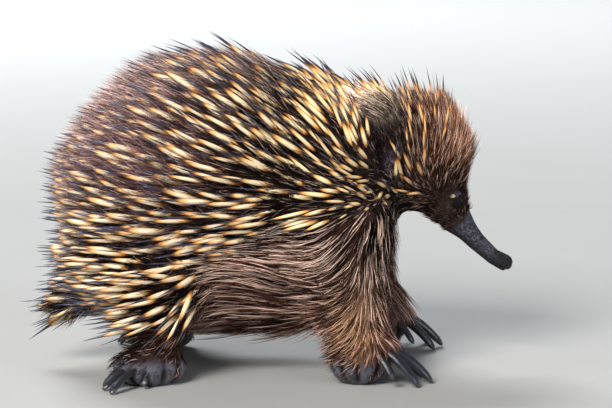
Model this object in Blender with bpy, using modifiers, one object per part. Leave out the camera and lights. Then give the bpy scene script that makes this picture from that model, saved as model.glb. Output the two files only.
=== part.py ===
"""A life-size echidna, standing still with its head bowed to dig, as a museum shows one.

It faces +X and its left side is +Y. Sizes are in millimetres and become metres when a mesh is made. The body is
one smooth form, the core of the coat, from a table of ellipsoids and limbs. It is parted by thin cuts into named
pieces. Spines and locks of fur then grow from each piece along the lie of the coat, and are fused with it.
"""

import math
import random

import bmesh
import bpy
import numpy as np
from mathutils import Matrix, Vector
from mathutils.bvhtree import BVHTree

MM = 0.001
GAP = 0.3  # left between neighbouring pieces
SIDES = (("right", -1), ("left", 1))

# The core of the body: centre and radii of each ellipsoid
ELLIPSOIDS = {
    "rump": ((-78, 0, 130), (82, 86, 86)),
    "haunch": ((-88, 0, 86), (70, 82, 46)),
    "back": ((-38, 0, 146), (98, 86, 88)),
    "shoulders": ((28, 0, 142), (70, 72, 80)),
    "belly": ((-20, 0, 80), (92, 72, 55)),
    "neck": ((76, 0, 163), (36, 42, 46)),
    "cranium": ((106, 0, 160), (34, 36, 41)),
}
# Limbs: points along each with the radius there. Those with a side are mirrored, and LEFT_FORE_STEP moves one
FACE = (((110, 0, 148), 28), ((124, 0, 126), 18), ((133, 0, 114), 10.5))
BEAK = (((136, 0, 111), 8.4), ((150, 0, 95), 6.9), ((163, 0, 83), 5.9), ((171.5, 0, 78.5), 6.3))
TAIL = (((-132, 0, 68), 24), ((-158, 0, 48), 12))
FORE_LEG = (((48, 50, 112), 40), ((60, 61, 60), 23), ((62, 66, 24), 16.5))
FORE_PAW = ((61, 67, 14), (21, 19.5, 16), 28)
HIND_LEG = (((-80, 57, 68), 34), ((-84, 65, 28), 16.5))
HIND_PAW = ((-90, 69, 10.5), (26, 17, 12.5), 14)
LEFT_FORE_STEP = 14
SMOOTH = 5.0  # width over which neighbouring forms flow together

# Where the body is parted: a point on each cut and the way the part that it frees lies
NECK_CUT = ((44, 0, 168), (0.96, 0, 0.28))
HEAD_CUT = ((72, 0, 168), (0.985, 0, 0.17))
BEAK_CUT = ((139, 0, 108), (0.66, 0, -0.75))
FORE_REACH = ((58, 64, 48), (54, 42, 70))
HIND_REACH = ((-84, 68, 30), (62, 42, 50))
TAIL_REACH = ((-156, 0, 46), (32, 30, 27))

# The face
EYE_AT = (137, 128)  # along the body and up, on each side
EYE_RADIUS = 4.5
EYE_SUNK = 2.6
LID_RADIUS = 5.0
LID_THICK = 1.8
EAR_AT = (84, 171)
EAR_SIZE = (10.5, 5.5, 25)  # half its length along the head, its depth and its height
EAR_WALL = 3.2
NOSTRIL_AT = (172, 2.2, 84.6)
NOSTRIL_SIZE = (2.2, 0.8, 1.6)
MOUTH_BACK = (165, 0, 79.8)
MOUTH_LENGTH = 24
MOUTH_SLOPE = 30
MOUTH_HEIGHT = 0.6

# Claws: where each grows round the paw (degrees outward from ahead), its length and its width
FORE_CLAWS = ((-52, 28, 6.5), (-24, 40, 9), (6, 44, 9.5), (36, 40, 9), (64, 28, 6.5))
HIND_CLAWS = ((88, 15, 5.5), (114, 38, 6.5), (138, 30, 6), (160, 22, 5.5), (182, 16, 5))
CLAW_SPREAD = 0.6  # how far the claws of a paw fan out, where 1 is like spokes
TOE_RADIUS = 6.2

# The lie of the coat: at (along, up) it points at this angle above ahead, seen from the animal's right side
LIE = (
    (-150, 160, 166), (-165, 100, 177), (-160, 55, 192), (-120, 200, 158), (-90, 222, 153), (-46, 238, 149),
    (0, 228, 145), (40, 220, 142), (70, 214, 138), (92, 208, 122), (112, 200, 108), (130, 185, 98),
    (99, 188, 110), (101, 168, 98), (98, 146, 112), (-60, 46, 182), (-122, 58, 184), (-92, 62, 186),
    (142, 160, 95), (122, 160, 86), (128, 138, 104), (110, 126, 150), (140, 118, 125), (-100, 150, 162),
    (-100, 100, 173), (-100, 60, 190), (-40, 185, 152), (-40, 130, 163), (-40, 92, 177), (-40, 62, 185),
    (20, 170, 147), (38, 140, 158), (20, 112, 180), (44, 118, 200), (60, 122, 222), (66, 160, 122), (70, 142, 160),
    (0, 78, 178), (0, 44, 174), (28, 88, 192), (28, 58, 181), (28, 30, 177), (48, 96, 216), (48, 72, 200),
    (46, 44, 186), (46, 22, 182), (61, 96, 262), (61, 70, 264), (61, 45, 266), (61, 20, 268), (74, 96, 284),
    (76, 70, 300), (78, 48, 318), (74, 24, 292), (90, 84, 292), (92, 56, 325), (-84, 20, 220),
)
LIE_BLUR = 12.0  # a guide's influence is even within this distance

# Spines and locks: length, greatest half width and half depth, spacing over the core
SPINE = {"length": 48, "half_width": 2.5, "spacing": 16.2}
HEAD_SPINE = {"length": 34, "half_width": 2, "spacing": 11.5}
LOCK = {"length": 46, "half_width": 8.5, "half_depth": 2, "spacing": 18.5}
LEG_LOCK = {"length": 34, "half_width": 8, "half_depth": 2, "spacing": 15.5}
BRISTLE = {"length": 27, "half_width": 5.2, "half_depth": 1.6, "spacing": 12.5}
ROOT_DEPTH = 9.0
SPINE_SKIRT = ((-170, 34), (-100, 40), (-57, 58), (-20, 84), (40, 106), (86, 120))  # lower edge of the spines

BODY_TRIANGLES = 2600
FACE_FROM = 112  # ahead of this place the face keeps more of its triangles
FACE_KEPT = 5
FUR_COLOUR = (0.13, 0.075, 0.055, 1)
SPINE_COLOUR = (0.82, 0.62, 0.34, 1)
SKIN_COLOUR = (0.07, 0.065, 0.075, 1)
CLAW_COLOUR = (0.03, 0.032, 0.04, 1)


def clear_scene():
    for obj in list(bpy.data.objects):
        bpy.data.objects.remove(obj)


def material(name, colour, roughness):
    made = bpy.data.materials.new(name)
    made.use_nodes = True
    shader = made.node_tree.nodes["Principled BSDF"]
    shader.inputs["Base Color"].default_value = colour
    shader.inputs["Roughness"].default_value = roughness
    made.diffuse_color = colour
    return made


def collection(name):
    made = bpy.data.collections.new(name)
    bpy.context.scene.collection.children.link(made)
    return made


def place(mesh, name, home, *materials):
    """A new object with this mesh, in the collection home"""
    obj = bpy.data.objects.new(name, mesh)
    for one in materials:
        mesh.materials.append(one)
    home.objects.link(obj)
    return obj


def drop(obj):
    mesh = obj.data
    bpy.data.objects.remove(obj)
    if mesh.users == 0:
        bpy.data.meshes.remove(mesh)


def mesh_of(shape, name):
    """The mesh that this bmesh makes, scaled from millimetres to metres"""
    bmesh.ops.scale(shape, vec=(MM, MM, MM), verts=shape.verts)
    bmesh.ops.recalc_face_normals(shape, faces=shape.faces)
    mesh = bpy.data.meshes.new(name)
    shape.to_mesh(mesh)
    shape.free()
    return mesh


def mirrored(point, side):
    return Vector((point[0], point[1] * side, point[2]))


# The body's form

def fore_path(side):
    step = Vector((LEFT_FORE_STEP if side > 0 else 0, 0, 0))
    spread = (0.3, 0.7, 1.0)
    return tuple(
        (mirrored(point, side) + step * share, radius) for (point, radius), share in zip(FORE_LEG, spread)
    )


def fore_paw_centre(side):
    return mirrored(FORE_PAW[0], side) + Vector((LEFT_FORE_STEP if side > 0 else 0, 0, 0))


def toe_line(centre, radii, height, claws, number, side):
    """Where the knuckle of a paw's toe is, and where the claw on it starts and ends"""
    outward, length, _ = claws[number]
    middle = claws[len(claws) // 2][0]
    around, pointing = math.radians(outward), math.radians(middle + CLAW_SPREAD * (outward - middle))
    ahead = Vector((math.cos(around), math.sin(around) * side, 0))
    way = Vector((math.cos(pointing), math.sin(pointing) * side, 0))
    knuckle = centre + ahead * (0.56 / math.hypot(ahead.x / radii[0], ahead.y / radii[1]))
    knuckle.z = height
    start = knuckle + way * 7 - Vector((0, 0, 1))
    drop = min(start.z - 1, length * 0.7)
    return knuckle, start, start + way * math.sqrt(length**2 - drop**2) - Vector((0, 0, drop))


def paws():
    """Each paw's name, side, centre, radii, height of the toes and claws"""
    for side_name, side in SIDES:
        yield "fore_claw_" + side_name, side, fore_paw_centre(side), *FORE_PAW[1:], FORE_CLAWS
        yield "hind_claw_" + side_name, side, mirrored(HIND_PAW[0], side), *HIND_PAW[1:], HIND_CLAWS


def body_limbs():
    yield FACE
    yield BEAK
    yield TAIL
    for _, side in SIDES:
        yield fore_path(side)
        yield tuple((mirrored(point, side), radius) for point, radius in HIND_LEG)
    for _, side, centre, radii, height, claws in paws():
        for number in range(len(claws)):
            knuckle, start, _ = toe_line(centre, radii, height, claws, number, side)
            yield (knuckle, TOE_RADIUS), (start, TOE_RADIUS * 0.8)


def body_ellipsoids():
    yield from ELLIPSOIDS.values()
    for _, _, centre, radii, _, _ in paws():
        yield centre, radii


def ellipsoid_distance(points, centre, radii):
    """Near distance to an ellipsoid: the scaled length, less one, over the slope of that length"""
    scaled = (points - np.array(centre)) / radii
    length = np.linalg.norm(scaled, axis=1)
    slope = np.linalg.norm(scaled / radii, axis=1)
    return length * (length - 1) / np.maximum(slope, 1e-9)


def limb_distance(points, path):
    """Distance to a chain of balls whose radius changes evenly from each point of the path to the next"""
    nearest = np.full(len(points), np.inf)
    for (start, first), (end, last) in zip(path, path[1:]):
        start, along = np.array(start), np.array(end) - np.array(start)
        share = np.clip((points - start) @ along / (along @ along), 0, 1)
        centres = start + share[:, None] * along
        nearest = np.minimum(nearest, np.linalg.norm(points - centres, axis=1) - first - share * (last - first))
    return nearest


def body_distance(points):
    """Distance to the whole body, negative inside: a smooth minimum over its ellipsoids and limbs"""
    each = [ellipsoid_distance(points, *form) for form in body_ellipsoids()]
    each += [limb_distance(points, path) for path in body_limbs()]
    each = np.array(each)
    least = each.min(axis=0)
    return least - SMOOTH * np.log(np.exp((least - each) / SMOOTH).sum(axis=0))


def body_slope(points, step=0.5):
    """The way that body_distance grows fastest at each point"""
    moves = np.eye(3) * step
    return np.stack([body_distance(points + m) - body_distance(points - m) for m in moves], axis=1) / (2 * step)


def settle(mesh, level=0.0):
    """Slides each vertex of the mesh onto the body's form, or to a level outside it"""
    flat = np.empty(len(mesh.vertices) * 3)
    mesh.vertices.foreach_get("co", flat)
    points = flat.reshape(-1, 3) / MM
    for _ in range(5):
        slope = body_slope(points)
        over = (body_distance(points) - level) / np.maximum((slope**2).sum(axis=1), 0.2)
        points -= np.clip(over, -4, 4)[:, None] * slope
    mesh.vertices.foreach_set("co", (points * MM).ravel())
    mesh.update()


def unit_ball(around=24, along=14):
    """Corners and triangles of a ball of radius one, as arrays"""
    shape = bmesh.new()
    bmesh.ops.create_uvsphere(shape, u_segments=around, v_segments=along, radius=1)
    bmesh.ops.triangulate(shape, faces=shape.faces)
    corners = np.array([v.co for v in shape.verts])
    triangles = np.array([[v.index for v in face.verts] for face in shape.faces])
    shape.free()
    return corners, triangles


def rough_body():
    """The ellipsoids and limbs as overlapping balls, to be remeshed as one surface"""
    balls = list(body_ellipsoids())
    for path in body_limbs():
        for (start, first), (end, last) in zip(path, path[1:]):
            start, end = Vector(start), Vector(end)
            count = max(2, round((end - start).length / (0.3 * min(first, last))))
            for k in range(count + 1):
                radius = first + k / count * (last - first)
                balls.append((start.lerp(end, k / count), (radius,) * 3))
    corners, triangles = unit_ball()
    points = np.concatenate([corners * radii + np.array(centre) for centre, radii in balls])
    faces = np.concatenate([triangles + k * len(corners) for k in range(len(balls))])
    mesh = bpy.data.meshes.new("rough_body")
    mesh.from_pydata((points * MM).tolist(), [], faces.tolist())
    return mesh


def apply_all(obj):
    """Swaps the object's mesh for what its modifiers make of it"""
    graph = bpy.context.evaluated_depsgraph_get()
    made = bpy.data.meshes.new_from_object(obj.evaluated_get(graph))
    old = obj.data
    obj.modifiers.clear()
    obj.data = made
    bpy.data.meshes.remove(old)


def whole_body(home):
    body = place(rough_body(), "whole_body", home)
    remesh = body.modifiers.new("one_surface", "REMESH")
    remesh.mode = "VOXEL"
    remesh.voxel_size = 4 * MM
    apply_all(body)
    settle(body.data)
    face = body.vertex_groups.new(name="face")
    at_face = [v.index for v in body.data.vertices if v.co.x > FACE_FROM * MM and v.co.z > 60 * MM]
    at_beak = [v.index for v in body.data.vertices if v.co.x > (EYE_AT[0] - 8) * MM]
    face.add(at_face, 0.25, "REPLACE")
    face.add(at_beak, 1.0, "REPLACE")
    thin = body.modifiers.new("fewer_faces", "DECIMATE")
    thin.ratio = BODY_TRIANGLES / (2 * len(body.data.polygons))
    thin.vertex_group = "face"
    thin.invert_vertex_group = True
    thin.vertex_group_factor = FACE_KEPT
    apply_all(body)
    return body


# Cutting and joining

def largest_piece(mesh):
    """Drops all but the mesh's largest closed surface"""
    shape = bmesh.new()
    shape.from_mesh(mesh)
    left, surfaces = set(shape.faces), []
    while left:
        stack, found = [left.pop()], []
        while stack:
            face = stack.pop()
            found.append(face)
            for edge in face.edges:
                for other in edge.link_faces:
                    if other in left:
                        left.remove(other)
                        stack.append(other)
        surfaces.append(found)
    surfaces.sort(key=lambda faces: sum(face.calc_area() for face in faces))
    for faces in surfaces[:-1]:
        bmesh.ops.delete(shape, geom=faces, context="FACES")
    shape.to_mesh(mesh)
    shape.free()


def combine(obj, others, operation):
    """Applies one Boolean of these other objects on obj, and removes them"""
    operands = collection("operands")
    for other in others:
        for home in list(other.users_collection):
            home.objects.unlink(other)
        operands.objects.link(other)
    modifier = obj.modifiers.new(operation.lower(), "BOOLEAN")
    modifier.operation = operation
    modifier.operand_type = "COLLECTION"
    modifier.collection = operands
    modifier.solver = "MANIFOLD"
    modifier.material_mode = "TRANSFER"
    apply_all(obj)
    for other in list(others):
        drop(other)
    bpy.data.collections.remove(operands)
    largest_piece(obj.data)


def ball_region(home, centre, radii, grow=0.0, around=16, along=10):
    shape = bmesh.new()
    size = Vector(radii) + Vector((grow, grow, grow))
    matrix = Matrix.LocRotScale(Vector(centre), None, size)
    bmesh.ops.create_uvsphere(shape, u_segments=around, v_segments=along, radius=1, matrix=matrix)
    return place(mesh_of(shape, "ball_region"), "ball_region", home)


def half_space(home, point, ahead, grow=0.0, reach=150.0):
    """A box with one face through the point, lying on the ahead side of it, and taller than what it cuts"""
    ahead = Vector(ahead).normalized()
    turn = ahead.to_track_quat("X", "Z")
    shape = bmesh.new()
    matrix = Matrix.LocRotScale(Vector(point) + ahead * (reach / 2 - grow), turn, Vector((reach, 400, 190)))
    bmesh.ops.create_cube(shape, size=1, matrix=matrix)
    return place(mesh_of(shape, "half_space"), "half_space", home)


def below_floor(home):
    shape = bmesh.new()
    bmesh.ops.create_cube(shape, size=1, matrix=Matrix.LocRotScale(Vector((0, 0, -30)), None, Vector((600, 400, 60))))
    return place(mesh_of(shape, "below_floor"), "below_floor", home)


def part_off(body, region, name, home, cutters):
    """Frees what lies in the region as a node of its own, and leaves GAP between it and the rest"""
    freed = place(body.data.copy(), name, home)
    combine(freed, [region(cutters, grow=-GAP)], "INTERSECT")
    combine(body, [region(cutters, grow=0.0)], "DIFFERENCE")
    return freed


# Tapered pieces: claws, spines and locks

def ring_about(centre, ahead, across, half_width, half_depth, count):
    """Points of an ellipse round centre, square to ahead, wide along across"""
    ahead = ahead.normalized()
    wide = (across - ahead * across.dot(ahead)).normalized()
    deep = ahead.cross(wide)
    turns = [2 * math.pi * (k / count + 0.25) for k in range(count)]
    return [centre + wide * (half_width * math.cos(a)) + deep * (half_depth * math.sin(a)) for a in turns]


def horn(path, widths, depths, across, count=3):
    """A closed piece that tapers to the last point of the path, with an elliptic ring at each of the others

    A width of None makes the piece start at a point as well.
    """
    shape = bmesh.new()
    rings = []
    for k, centre in enumerate(path[:-1]):
        if widths[k] is None:
            continue
        ahead = path[k + 1] - path[max(k - 1, 0)]
        points = ring_about(centre, ahead, across, widths[k], depths[k], count)
        rings.append([shape.verts.new(p) for p in points])
    if widths[0] is None:
        root = shape.verts.new(path[0])
        for k in range(count):
            shape.faces.new((rings[0][(k + 1) % count], rings[0][k], root))
    else:
        shape.faces.new(rings[0][::-1])
    for lower, upper in zip(rings, rings[1:]):
        for k in range(count):
            n = (k + 1) % count
            shape.faces.new((lower[k], lower[n], upper[n], upper[k]))
    tip = shape.verts.new(path[-1])
    for k in range(count):
        shape.faces.new((rings[-1][k], rings[-1][(k + 1) % count], tip))
    return shape


def claw_shape(start, tip, width, grow=0.0):
    """A claw that arches over its own length and narrows to a blunt tip, its root sunk into the toe"""
    run = tip - start
    ahead = run.normalized()
    lift = Vector((0, 0, run.length * 0.10))
    path = [start - ahead * (5 + grow)]
    path += [start + run * s + lift * (4 * s * (1 - s)) for s in (0.15, 0.5, 0.85)] + [tip + ahead * grow]
    widths = [width * f / 2 + grow for f in (0.85, 1.0, 0.92, 0.6)]
    depths = [width * f / 2 + grow for f in (0.7, 0.78, 0.64, 0.34)]
    return horn(path, widths, depths, Vector((0, 0, 1)).cross(ahead), count=6)


def make_claws(home, cutters, legs, claw_finish):
    for name, side, centre, radii, height, claws in paws():
        leg = legs[name]
        sockets = []
        for number, (_, _, width) in enumerate(claws):
            _, start, tip = toe_line(centre, radii, height, claws, number, side)
            place(mesh_of(claw_shape(start, tip, width), name), f"{name}_{number + 1}", home, claw_finish)
            sockets.append(place(mesh_of(claw_shape(start, tip, width, GAP), "socket"), "socket", cutters))
        combine(leg, sockets, "DIFFERENCE")


# Face

def surface_at(tree, along, up, side):
    """Where a line from the animal's side at this place meets the body, and the normal there"""
    hit, normal, _, _ = tree.ray_cast(Vector((along, side * 200, up)) * MM, Vector((0, -side, 0)))
    return hit / MM, normal


def make_eye(head, tree, side_name, side, home, cutters, finish):
    at, normal = surface_at(tree, *EYE_AT, side)
    centre = at - normal * EYE_SUNK
    lid = bmesh.new()
    turn = normal.to_track_quat("Z", "Y").to_matrix().to_4x4()
    rim = [Vector((math.cos(a), math.sin(a), 0)) for a in (2 * math.pi * k / 10 for k in range(10))]
    rings = []
    for direction in rim:
        middle = direction * LID_RADIUS + Vector((0, 0, EYE_SUNK))
        rings.append([
            lid.verts.new(middle + direction * (LID_THICK * math.cos(b)) + Vector((0, 0, LID_THICK * math.sin(b))))
            for b in (2 * math.pi * k / 4 for k in range(4))
        ])
    for here, there in zip(rings, rings[1:] + rings[:1]):
        for k in range(4):
            n = (k + 1) % 4
            lid.faces.new((here[k], there[k], there[n], here[n]))
    bmesh.ops.transform(lid, matrix=Matrix.Translation(centre) @ turn, verts=lid.verts)
    combine(head, [place(mesh_of(lid, "lids"), "lids", cutters)], "UNION")
    combine(head, [ball_region(cutters, centre, (EYE_RADIUS,) * 3, GAP, 12, 8)], "DIFFERENCE")
    ball = bmesh.new()
    bmesh.ops.create_uvsphere(ball, u_segments=12, v_segments=8, radius=EYE_RADIUS, matrix=Matrix.Translation(centre))
    return place(mesh_of(ball, "eye"), "eye_" + side_name, home, finish)


def make_ear(head, tree, side_name, side, home, cutters, finish):
    """A tall oval rim round a cup that opens outward and a little ahead"""
    at, normal = surface_at(tree, *EAR_AT, side)
    ear = ball_region(home, at, EAR_SIZE, around=12, along=8)
    ear.name = "ear_" + side_name
    ear.data.materials.append(finish)
    combine(head, [ball_region(cutters, at, EAR_SIZE, GAP, 12, 8)], "DIFFERENCE")
    hollow = [size - EAR_WALL for size in EAR_SIZE]
    scoop = at + normal * (EAR_SIZE[1] * 0.75) + Vector((1.2, 0, 0))
    combine(ear, [ball_region(cutters, scoop, (hollow[0], EAR_SIZE[1], hollow[2]), 0, 12, 8)], "DIFFERENCE")
    return ear


def open_mouth_and_nostrils(beak, cutters):
    slope = Matrix.Rotation(math.radians(MOUTH_SLOPE), 4, "Y")
    slit = bmesh.new()
    middle = Vector(MOUTH_BACK) + slope.to_3x3() @ Vector((MOUTH_LENGTH / 2, 0, -2.4))
    size = Matrix.Diagonal((MOUTH_LENGTH, 40, MOUTH_HEIGHT, 1))
    bmesh.ops.create_cube(slit, size=1, matrix=Matrix.Translation(middle) @ slope @ size)
    cuts = [place(mesh_of(slit, "mouth"), "mouth", cutters)]
    for _, side in SIDES:
        cuts.append(ball_region(cutters, mirrored(NOSTRIL_AT, side), NOSTRIL_SIZE, 0, 8, 6))
    combine(beak, cuts, "DIFFERENCE")


# Coat

def lie_at(point):
    """The way the coat points, seen from the side: a mean of the guides, each weighted by its nearness"""
    total = Vector((0, 0, 0))
    for along, up, angle in LIE:
        away = (point.x - along) ** 2 + (point.z - up) ** 2
        turn = math.radians(angle)
        total += Vector((math.cos(turn), 0, math.sin(turn))) / (away + LIE_BLUR**2) ** 2
    return total.normalized()


def lie_on(point, normal):
    """The lie of the coat laid onto the skin. Where it would stand straight out, it falls down and outward"""
    side = 1 if point.y > 0 else -1
    way = lie_at(point)
    flat = way - normal * way.dot(normal)
    fallen = Vector((0, side * 0.45, -0.9))
    fallen -= normal * fallen.dot(normal)
    return (flat + fallen * max(0.0, 0.75 - flat.length)).normalized()


def scatter(mesh, spacing, rng):
    """Points spread evenly at random over a mesh, each at least spacing from the others, with their normals"""
    mesh.calc_loop_triangles()
    triangles = [(t.area, [mesh.vertices[v].co / MM for v in t.vertices], t.normal.copy()) for t in mesh.loop_triangles]
    areas = np.cumsum([area for area, _, _ in triangles])
    tries = int(areas[-1] / MM**2 / spacing**2 * 12)
    cells, found = {}, []
    for _ in range(tries):
        _, corners, normal = triangles[min(int(np.searchsorted(areas, rng.random() * areas[-1])), len(triangles) - 1)]
        a, b = sorted((rng.random(), rng.random()))
        point = corners[0] * a + corners[1] * (b - a) + corners[2] * (1 - b)
        cell = tuple(int(c // spacing) for c in point)
        near = (
            other
            for x in (-1, 0, 1) for y in (-1, 0, 1) for z in (-1, 0, 1)
            for other in cells.get((cell[0] + x, cell[1] + y, cell[2] + z), ())
        )
        if all((point - other).length >= spacing for other in near):
            cells.setdefault(cell, []).append(point)
            found.append((point, normal))
    return found


def skirt_height(along):
    """How low the spines reach at this place along the body"""
    return float(np.interp(along, [p[0] for p in SPINE_SKIRT], [p[1] for p in SPINE_SKIRT]))


def near_ear(point, margin=8.0):
    along, up = point.x - EAR_AT[0], point.z - EAR_AT[1]
    return (along / (EAR_SIZE[0] + margin)) ** 2 + (up / (EAR_SIZE[2] + margin)) ** 2 < 1 and abs(point.y) > 20


def spine_shape(point, normal, way, kind, size, lift, grow=0.0):
    """A spindle with its root sunk in the core, thickest a third of the way out, and a long sharp tip"""
    length, width = kind["length"] * size[0], kind["half_width"] * size[1]
    out = way * math.cos(lift) + normal * math.sin(lift)
    path = [point - normal * ROOT_DEPTH - way * 3, point + out * (length * 0.34), point + out * (length + grow)]
    widths = [None, width + grow]
    return horn(path, widths, widths, normal.cross(way))


def held_off(point, height):
    """The point, moved out if need be until it is this high above the body"""
    at = np.array([point])
    low = height - float(body_distance(at)[0])
    return point + Vector(body_slope(at)[0]).normalized() * low if low > 0 else point


def lock_shape(point, normal, way, kind, size, lift, grow=0.0):
    """A flat tapered lock that follows the body and bends with the lie of the coat as it leaves its root"""
    length, width, depth = kind["length"] * size[0], kind["half_width"] * size[1], kind["half_depth"]
    path = [point - normal * ROOT_DEPTH - way * 3]
    at, direction = point.copy(), way * math.cos(lift) + normal * math.sin(lift)
    for share in (0.3, 0.36, 0.34 + grow / length):
        reached = held_off(at + direction * (length * share), depth + 1 + length * share * math.sin(lift))
        direction, at = (reached - at).normalized(), reached
        path.append(at.copy())
        bent = lie_at(at)
        bent = (bent - normal * bent.dot(normal)).normalized() if bent.cross(normal).length > 0.3 else direction
        direction = (direction * 0.62 + bent * 0.38).normalized()
    widths = [None, width + grow, width * 0.72 + grow]
    depths = [None, depth + grow, depth * 0.7 + grow]
    return horn(path, widths, depths, normal.cross(way))


def tree_of(obj):
    mesh = obj.data
    return BVHTree.FromPolygons([v.co for v in mesh.vertices], [tuple(p.vertices) for p in mesh.polygons])


def shape_tree(shape):
    return BVHTree.FromPolygons([v.co * MM for v in shape.verts], [[v.index for v in f.verts] for f in shape.faces])


def clear_of(shape, trees):
    """Whether a piece stays above the floor and crosses none of these"""
    shape.verts.index_update()
    mine = shape_tree(shape)
    return min(v.co.z for v in shape.verts) > 1.5 and not any(mine.overlap(tree) for tree in trees)


def grow_coat(obj, skin, neighbours, where, shape_maker, kind, lift, seed, home, finish):
    """Grows spines or locks on a piece, rooted where they belong on it in the whole animal's skin

    One that would cross a neighbour is raised, and is left out if that isn't enough.
    """
    rng = random.Random(seed)
    own, trees = tree_of(obj), [tree_of(other) for other in neighbours]
    grown = []
    for point, normal in scatter(skin, kind["spacing"], rng):
        size = rng.uniform(0.82, 1.12), rng.uniform(0.85, 1.12)
        raised = rng.uniform(*lift)
        if not where(point, normal) or own.find_nearest(point * MM)[3] > 0.05 * MM:
            continue
        way = lie_on(point, normal)
        for more, shorter in ((0, 1), (7, 1), (14, 0.95), (22, 0.85), (32, 0.75)):
            made = (point, normal, way, kind, (size[0] * shorter, size[1]), math.radians(raised + more))
            probe = shape_maker(*made, grow=GAP * 1.5)
            fits = clear_of(probe, trees)
            probe.free()
            if fits:
                grown.append(place(mesh_of(shape_maker(*made), "growth"), "growth", home, finish))
                break
    return grown


def cut_side(point, cut):
    """How far a point lies ahead of a cut"""
    return (point - Vector(cut[0])).dot(Vector(cut[1]).normalized())


def make_coat(nodes, skin, work, fur, quill):
    edge = 5.0

    def torso_spines(p, n):
        return p.z > skirt_height(p.x) and cut_side(p, NECK_CUT) < -edge

    def torso_locks(p, n):
        low = skirt_height(p.x)
        return p.z <= low - 3 and n.z > -0.9 and cut_side(p, NECK_CUT) < -edge

    def neck_spines(p, n):
        inside = cut_side(p, NECK_CUT) > 3 and cut_side(p, HEAD_CUT) < -3
        return inside and p.z > 106 and not near_ear(p)

    def head_spines(p, n):
        return cut_side(p, HEAD_CUT) > 4 and p.z > 172 and p.x < 124 and not near_ear(p)

    def head_bristles(p, n):
        brow = p.z > 146 or (p.x < 112 and p.z > 124)
        return cut_side(p, HEAD_CUT) > 4 and brow and not near_ear(p, 5) and not head_spines(p, n)

    def leg_locks(p, n):
        return p.z > 20

    plan = [
        ("torso", torso_spines, spine_shape, SPINE, (9, 17), 11, quill),
        ("torso", torso_locks, lock_shape, LOCK, (6, 14), 12, fur),
        ("neck", neck_spines, spine_shape, HEAD_SPINE, (14, 24), 13, quill),
        ("head", head_spines, spine_shape, HEAD_SPINE, (16, 26), 14, quill),
        ("head", head_bristles, lock_shape, BRISTLE, (10, 18), 15, fur),
        ("front_leg_right", leg_locks, lock_shape, LEG_LOCK, (6, 16), 16, fur),
        ("front_leg_left", leg_locks, lock_shape, LEG_LOCK, (6, 16), 17, fur),
        ("hind_leg_right", leg_locks, lock_shape, LEG_LOCK, (6, 16), 18, fur),
        ("hind_leg_left", leg_locks, lock_shape, LEG_LOCK, (6, 16), 19, fur),
        ("tail", lambda p, n: n.z > -0.2, spine_shape, HEAD_SPINE, (8, 14), 20, quill),
    ]
    grown = {name: [] for name in nodes}
    for name, where, shape_maker, kind, lift, seed, finish in plan:
        others = [obj for key, obj in nodes.items() if key != name]
        others += [piece for key, pieces in grown.items() if key != name for piece in pieces]
        found = grow_coat(nodes[name], skin, others, where, shape_maker, kind, lift, seed, work, finish)
        print(name, "grows", len(found))
        grown[name] += found
    for name, pieces in grown.items():
        if pieces:
            combine(nodes[name], pieces, "UNION")


def stand_at_origin(nodes):
    """Moves the whole so that the floor under the middle of its box is the origin"""
    corners = np.array([v.co for obj in nodes for v in obj.data.vertices])
    low, high = corners.min(axis=0), corners.max(axis=0)
    shift = Vector((-(low[0] + high[0]) / 2, -(low[1] + high[1]) / 2, -low[2]))
    for obj in nodes:
        obj.data.transform(Matrix.Translation(shift))
    print("moved by", [round(s / MM, 2) for s in shift])


def main():
    clear_scene()
    home, cutters = collection("echidna"), collection("cutters")
    fur = material("fur", FUR_COLOUR, 0.85)
    quill = material("spine", SPINE_COLOUR, 0.35)
    skin = material("bare_skin", SKIN_COLOUR, 0.6)
    claw = material("claw", CLAW_COLOUR, 0.3)
    eye = material("eye", (0.01, 0.01, 0.012, 1), 0.08)

    body = whole_body(cutters)
    skin_mesh = body.data.copy()
    combine(body, [below_floor(cutters)], "DIFFERENCE")
    body_tree = tree_of(body)
    nodes = {}
    for side_name, side in SIDES:
        step = Vector((LEFT_FORE_STEP if side > 0 else 0, 0, 0)) * 0.8
        for name, (centre, radii), shift in (
            ("front_leg_", FORE_REACH, step), ("hind_leg_", HIND_REACH, Vector((0, 0, 0)))
        ):
            def region(into, grow, at=mirrored(centre, side) + shift, size=radii):
                return ball_region(into, at, size, grow)
            nodes[name + side_name] = part_off(body, region, name + side_name, home, cutters)
    for name, cut in (("beak", BEAK_CUT), ("head", HEAD_CUT), ("neck", NECK_CUT)):
        nodes[name] = part_off(
            body, lambda into, grow: half_space(into, *cut, grow=grow), name, home, cutters
        )
    nodes["tail"] = part_off(body, lambda into, grow: ball_region(into, *TAIL_REACH, grow), "tail", home, cutters)
    body.name = "torso"
    cutters.objects.unlink(body)
    home.objects.link(body)
    nodes["torso"] = body
    for name, obj in nodes.items():
        obj.data.materials.clear()
        obj.data.materials.append(skin if name == "beak" else fur)
        obj.data.polygons.foreach_set("material_index", [0] * len(obj.data.polygons))

    open_mouth_and_nostrils(nodes["beak"], cutters)
    for side_name, side in SIDES:
        nodes["eye_" + side_name] = make_eye(nodes["head"], body_tree, side_name, side, home, cutters, eye)
        nodes["ear_" + side_name] = make_ear(nodes["head"], body_tree, side_name, side, home, cutters, skin)
    legs = {
        "fore_claw_right": nodes["front_leg_right"], "fore_claw_left": nodes["front_leg_left"],
        "hind_claw_right": nodes["hind_leg_right"], "hind_claw_left": nodes["hind_leg_left"],
    }
    make_claws(home, cutters, legs, claw)
    for obj in home.objects:
        nodes.setdefault(obj.name, obj)
    make_coat(nodes, skin_mesh, cutters, fur, quill)
    stand_at_origin(list(nodes.values()))
    total = 0
    for name, obj in nodes.items():
        obj.data.calc_loop_triangles()
        total += len(obj.data.loop_triangles)
        print(name, len(obj.data.loop_triangles))
    print("total", total)


main()
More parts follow.
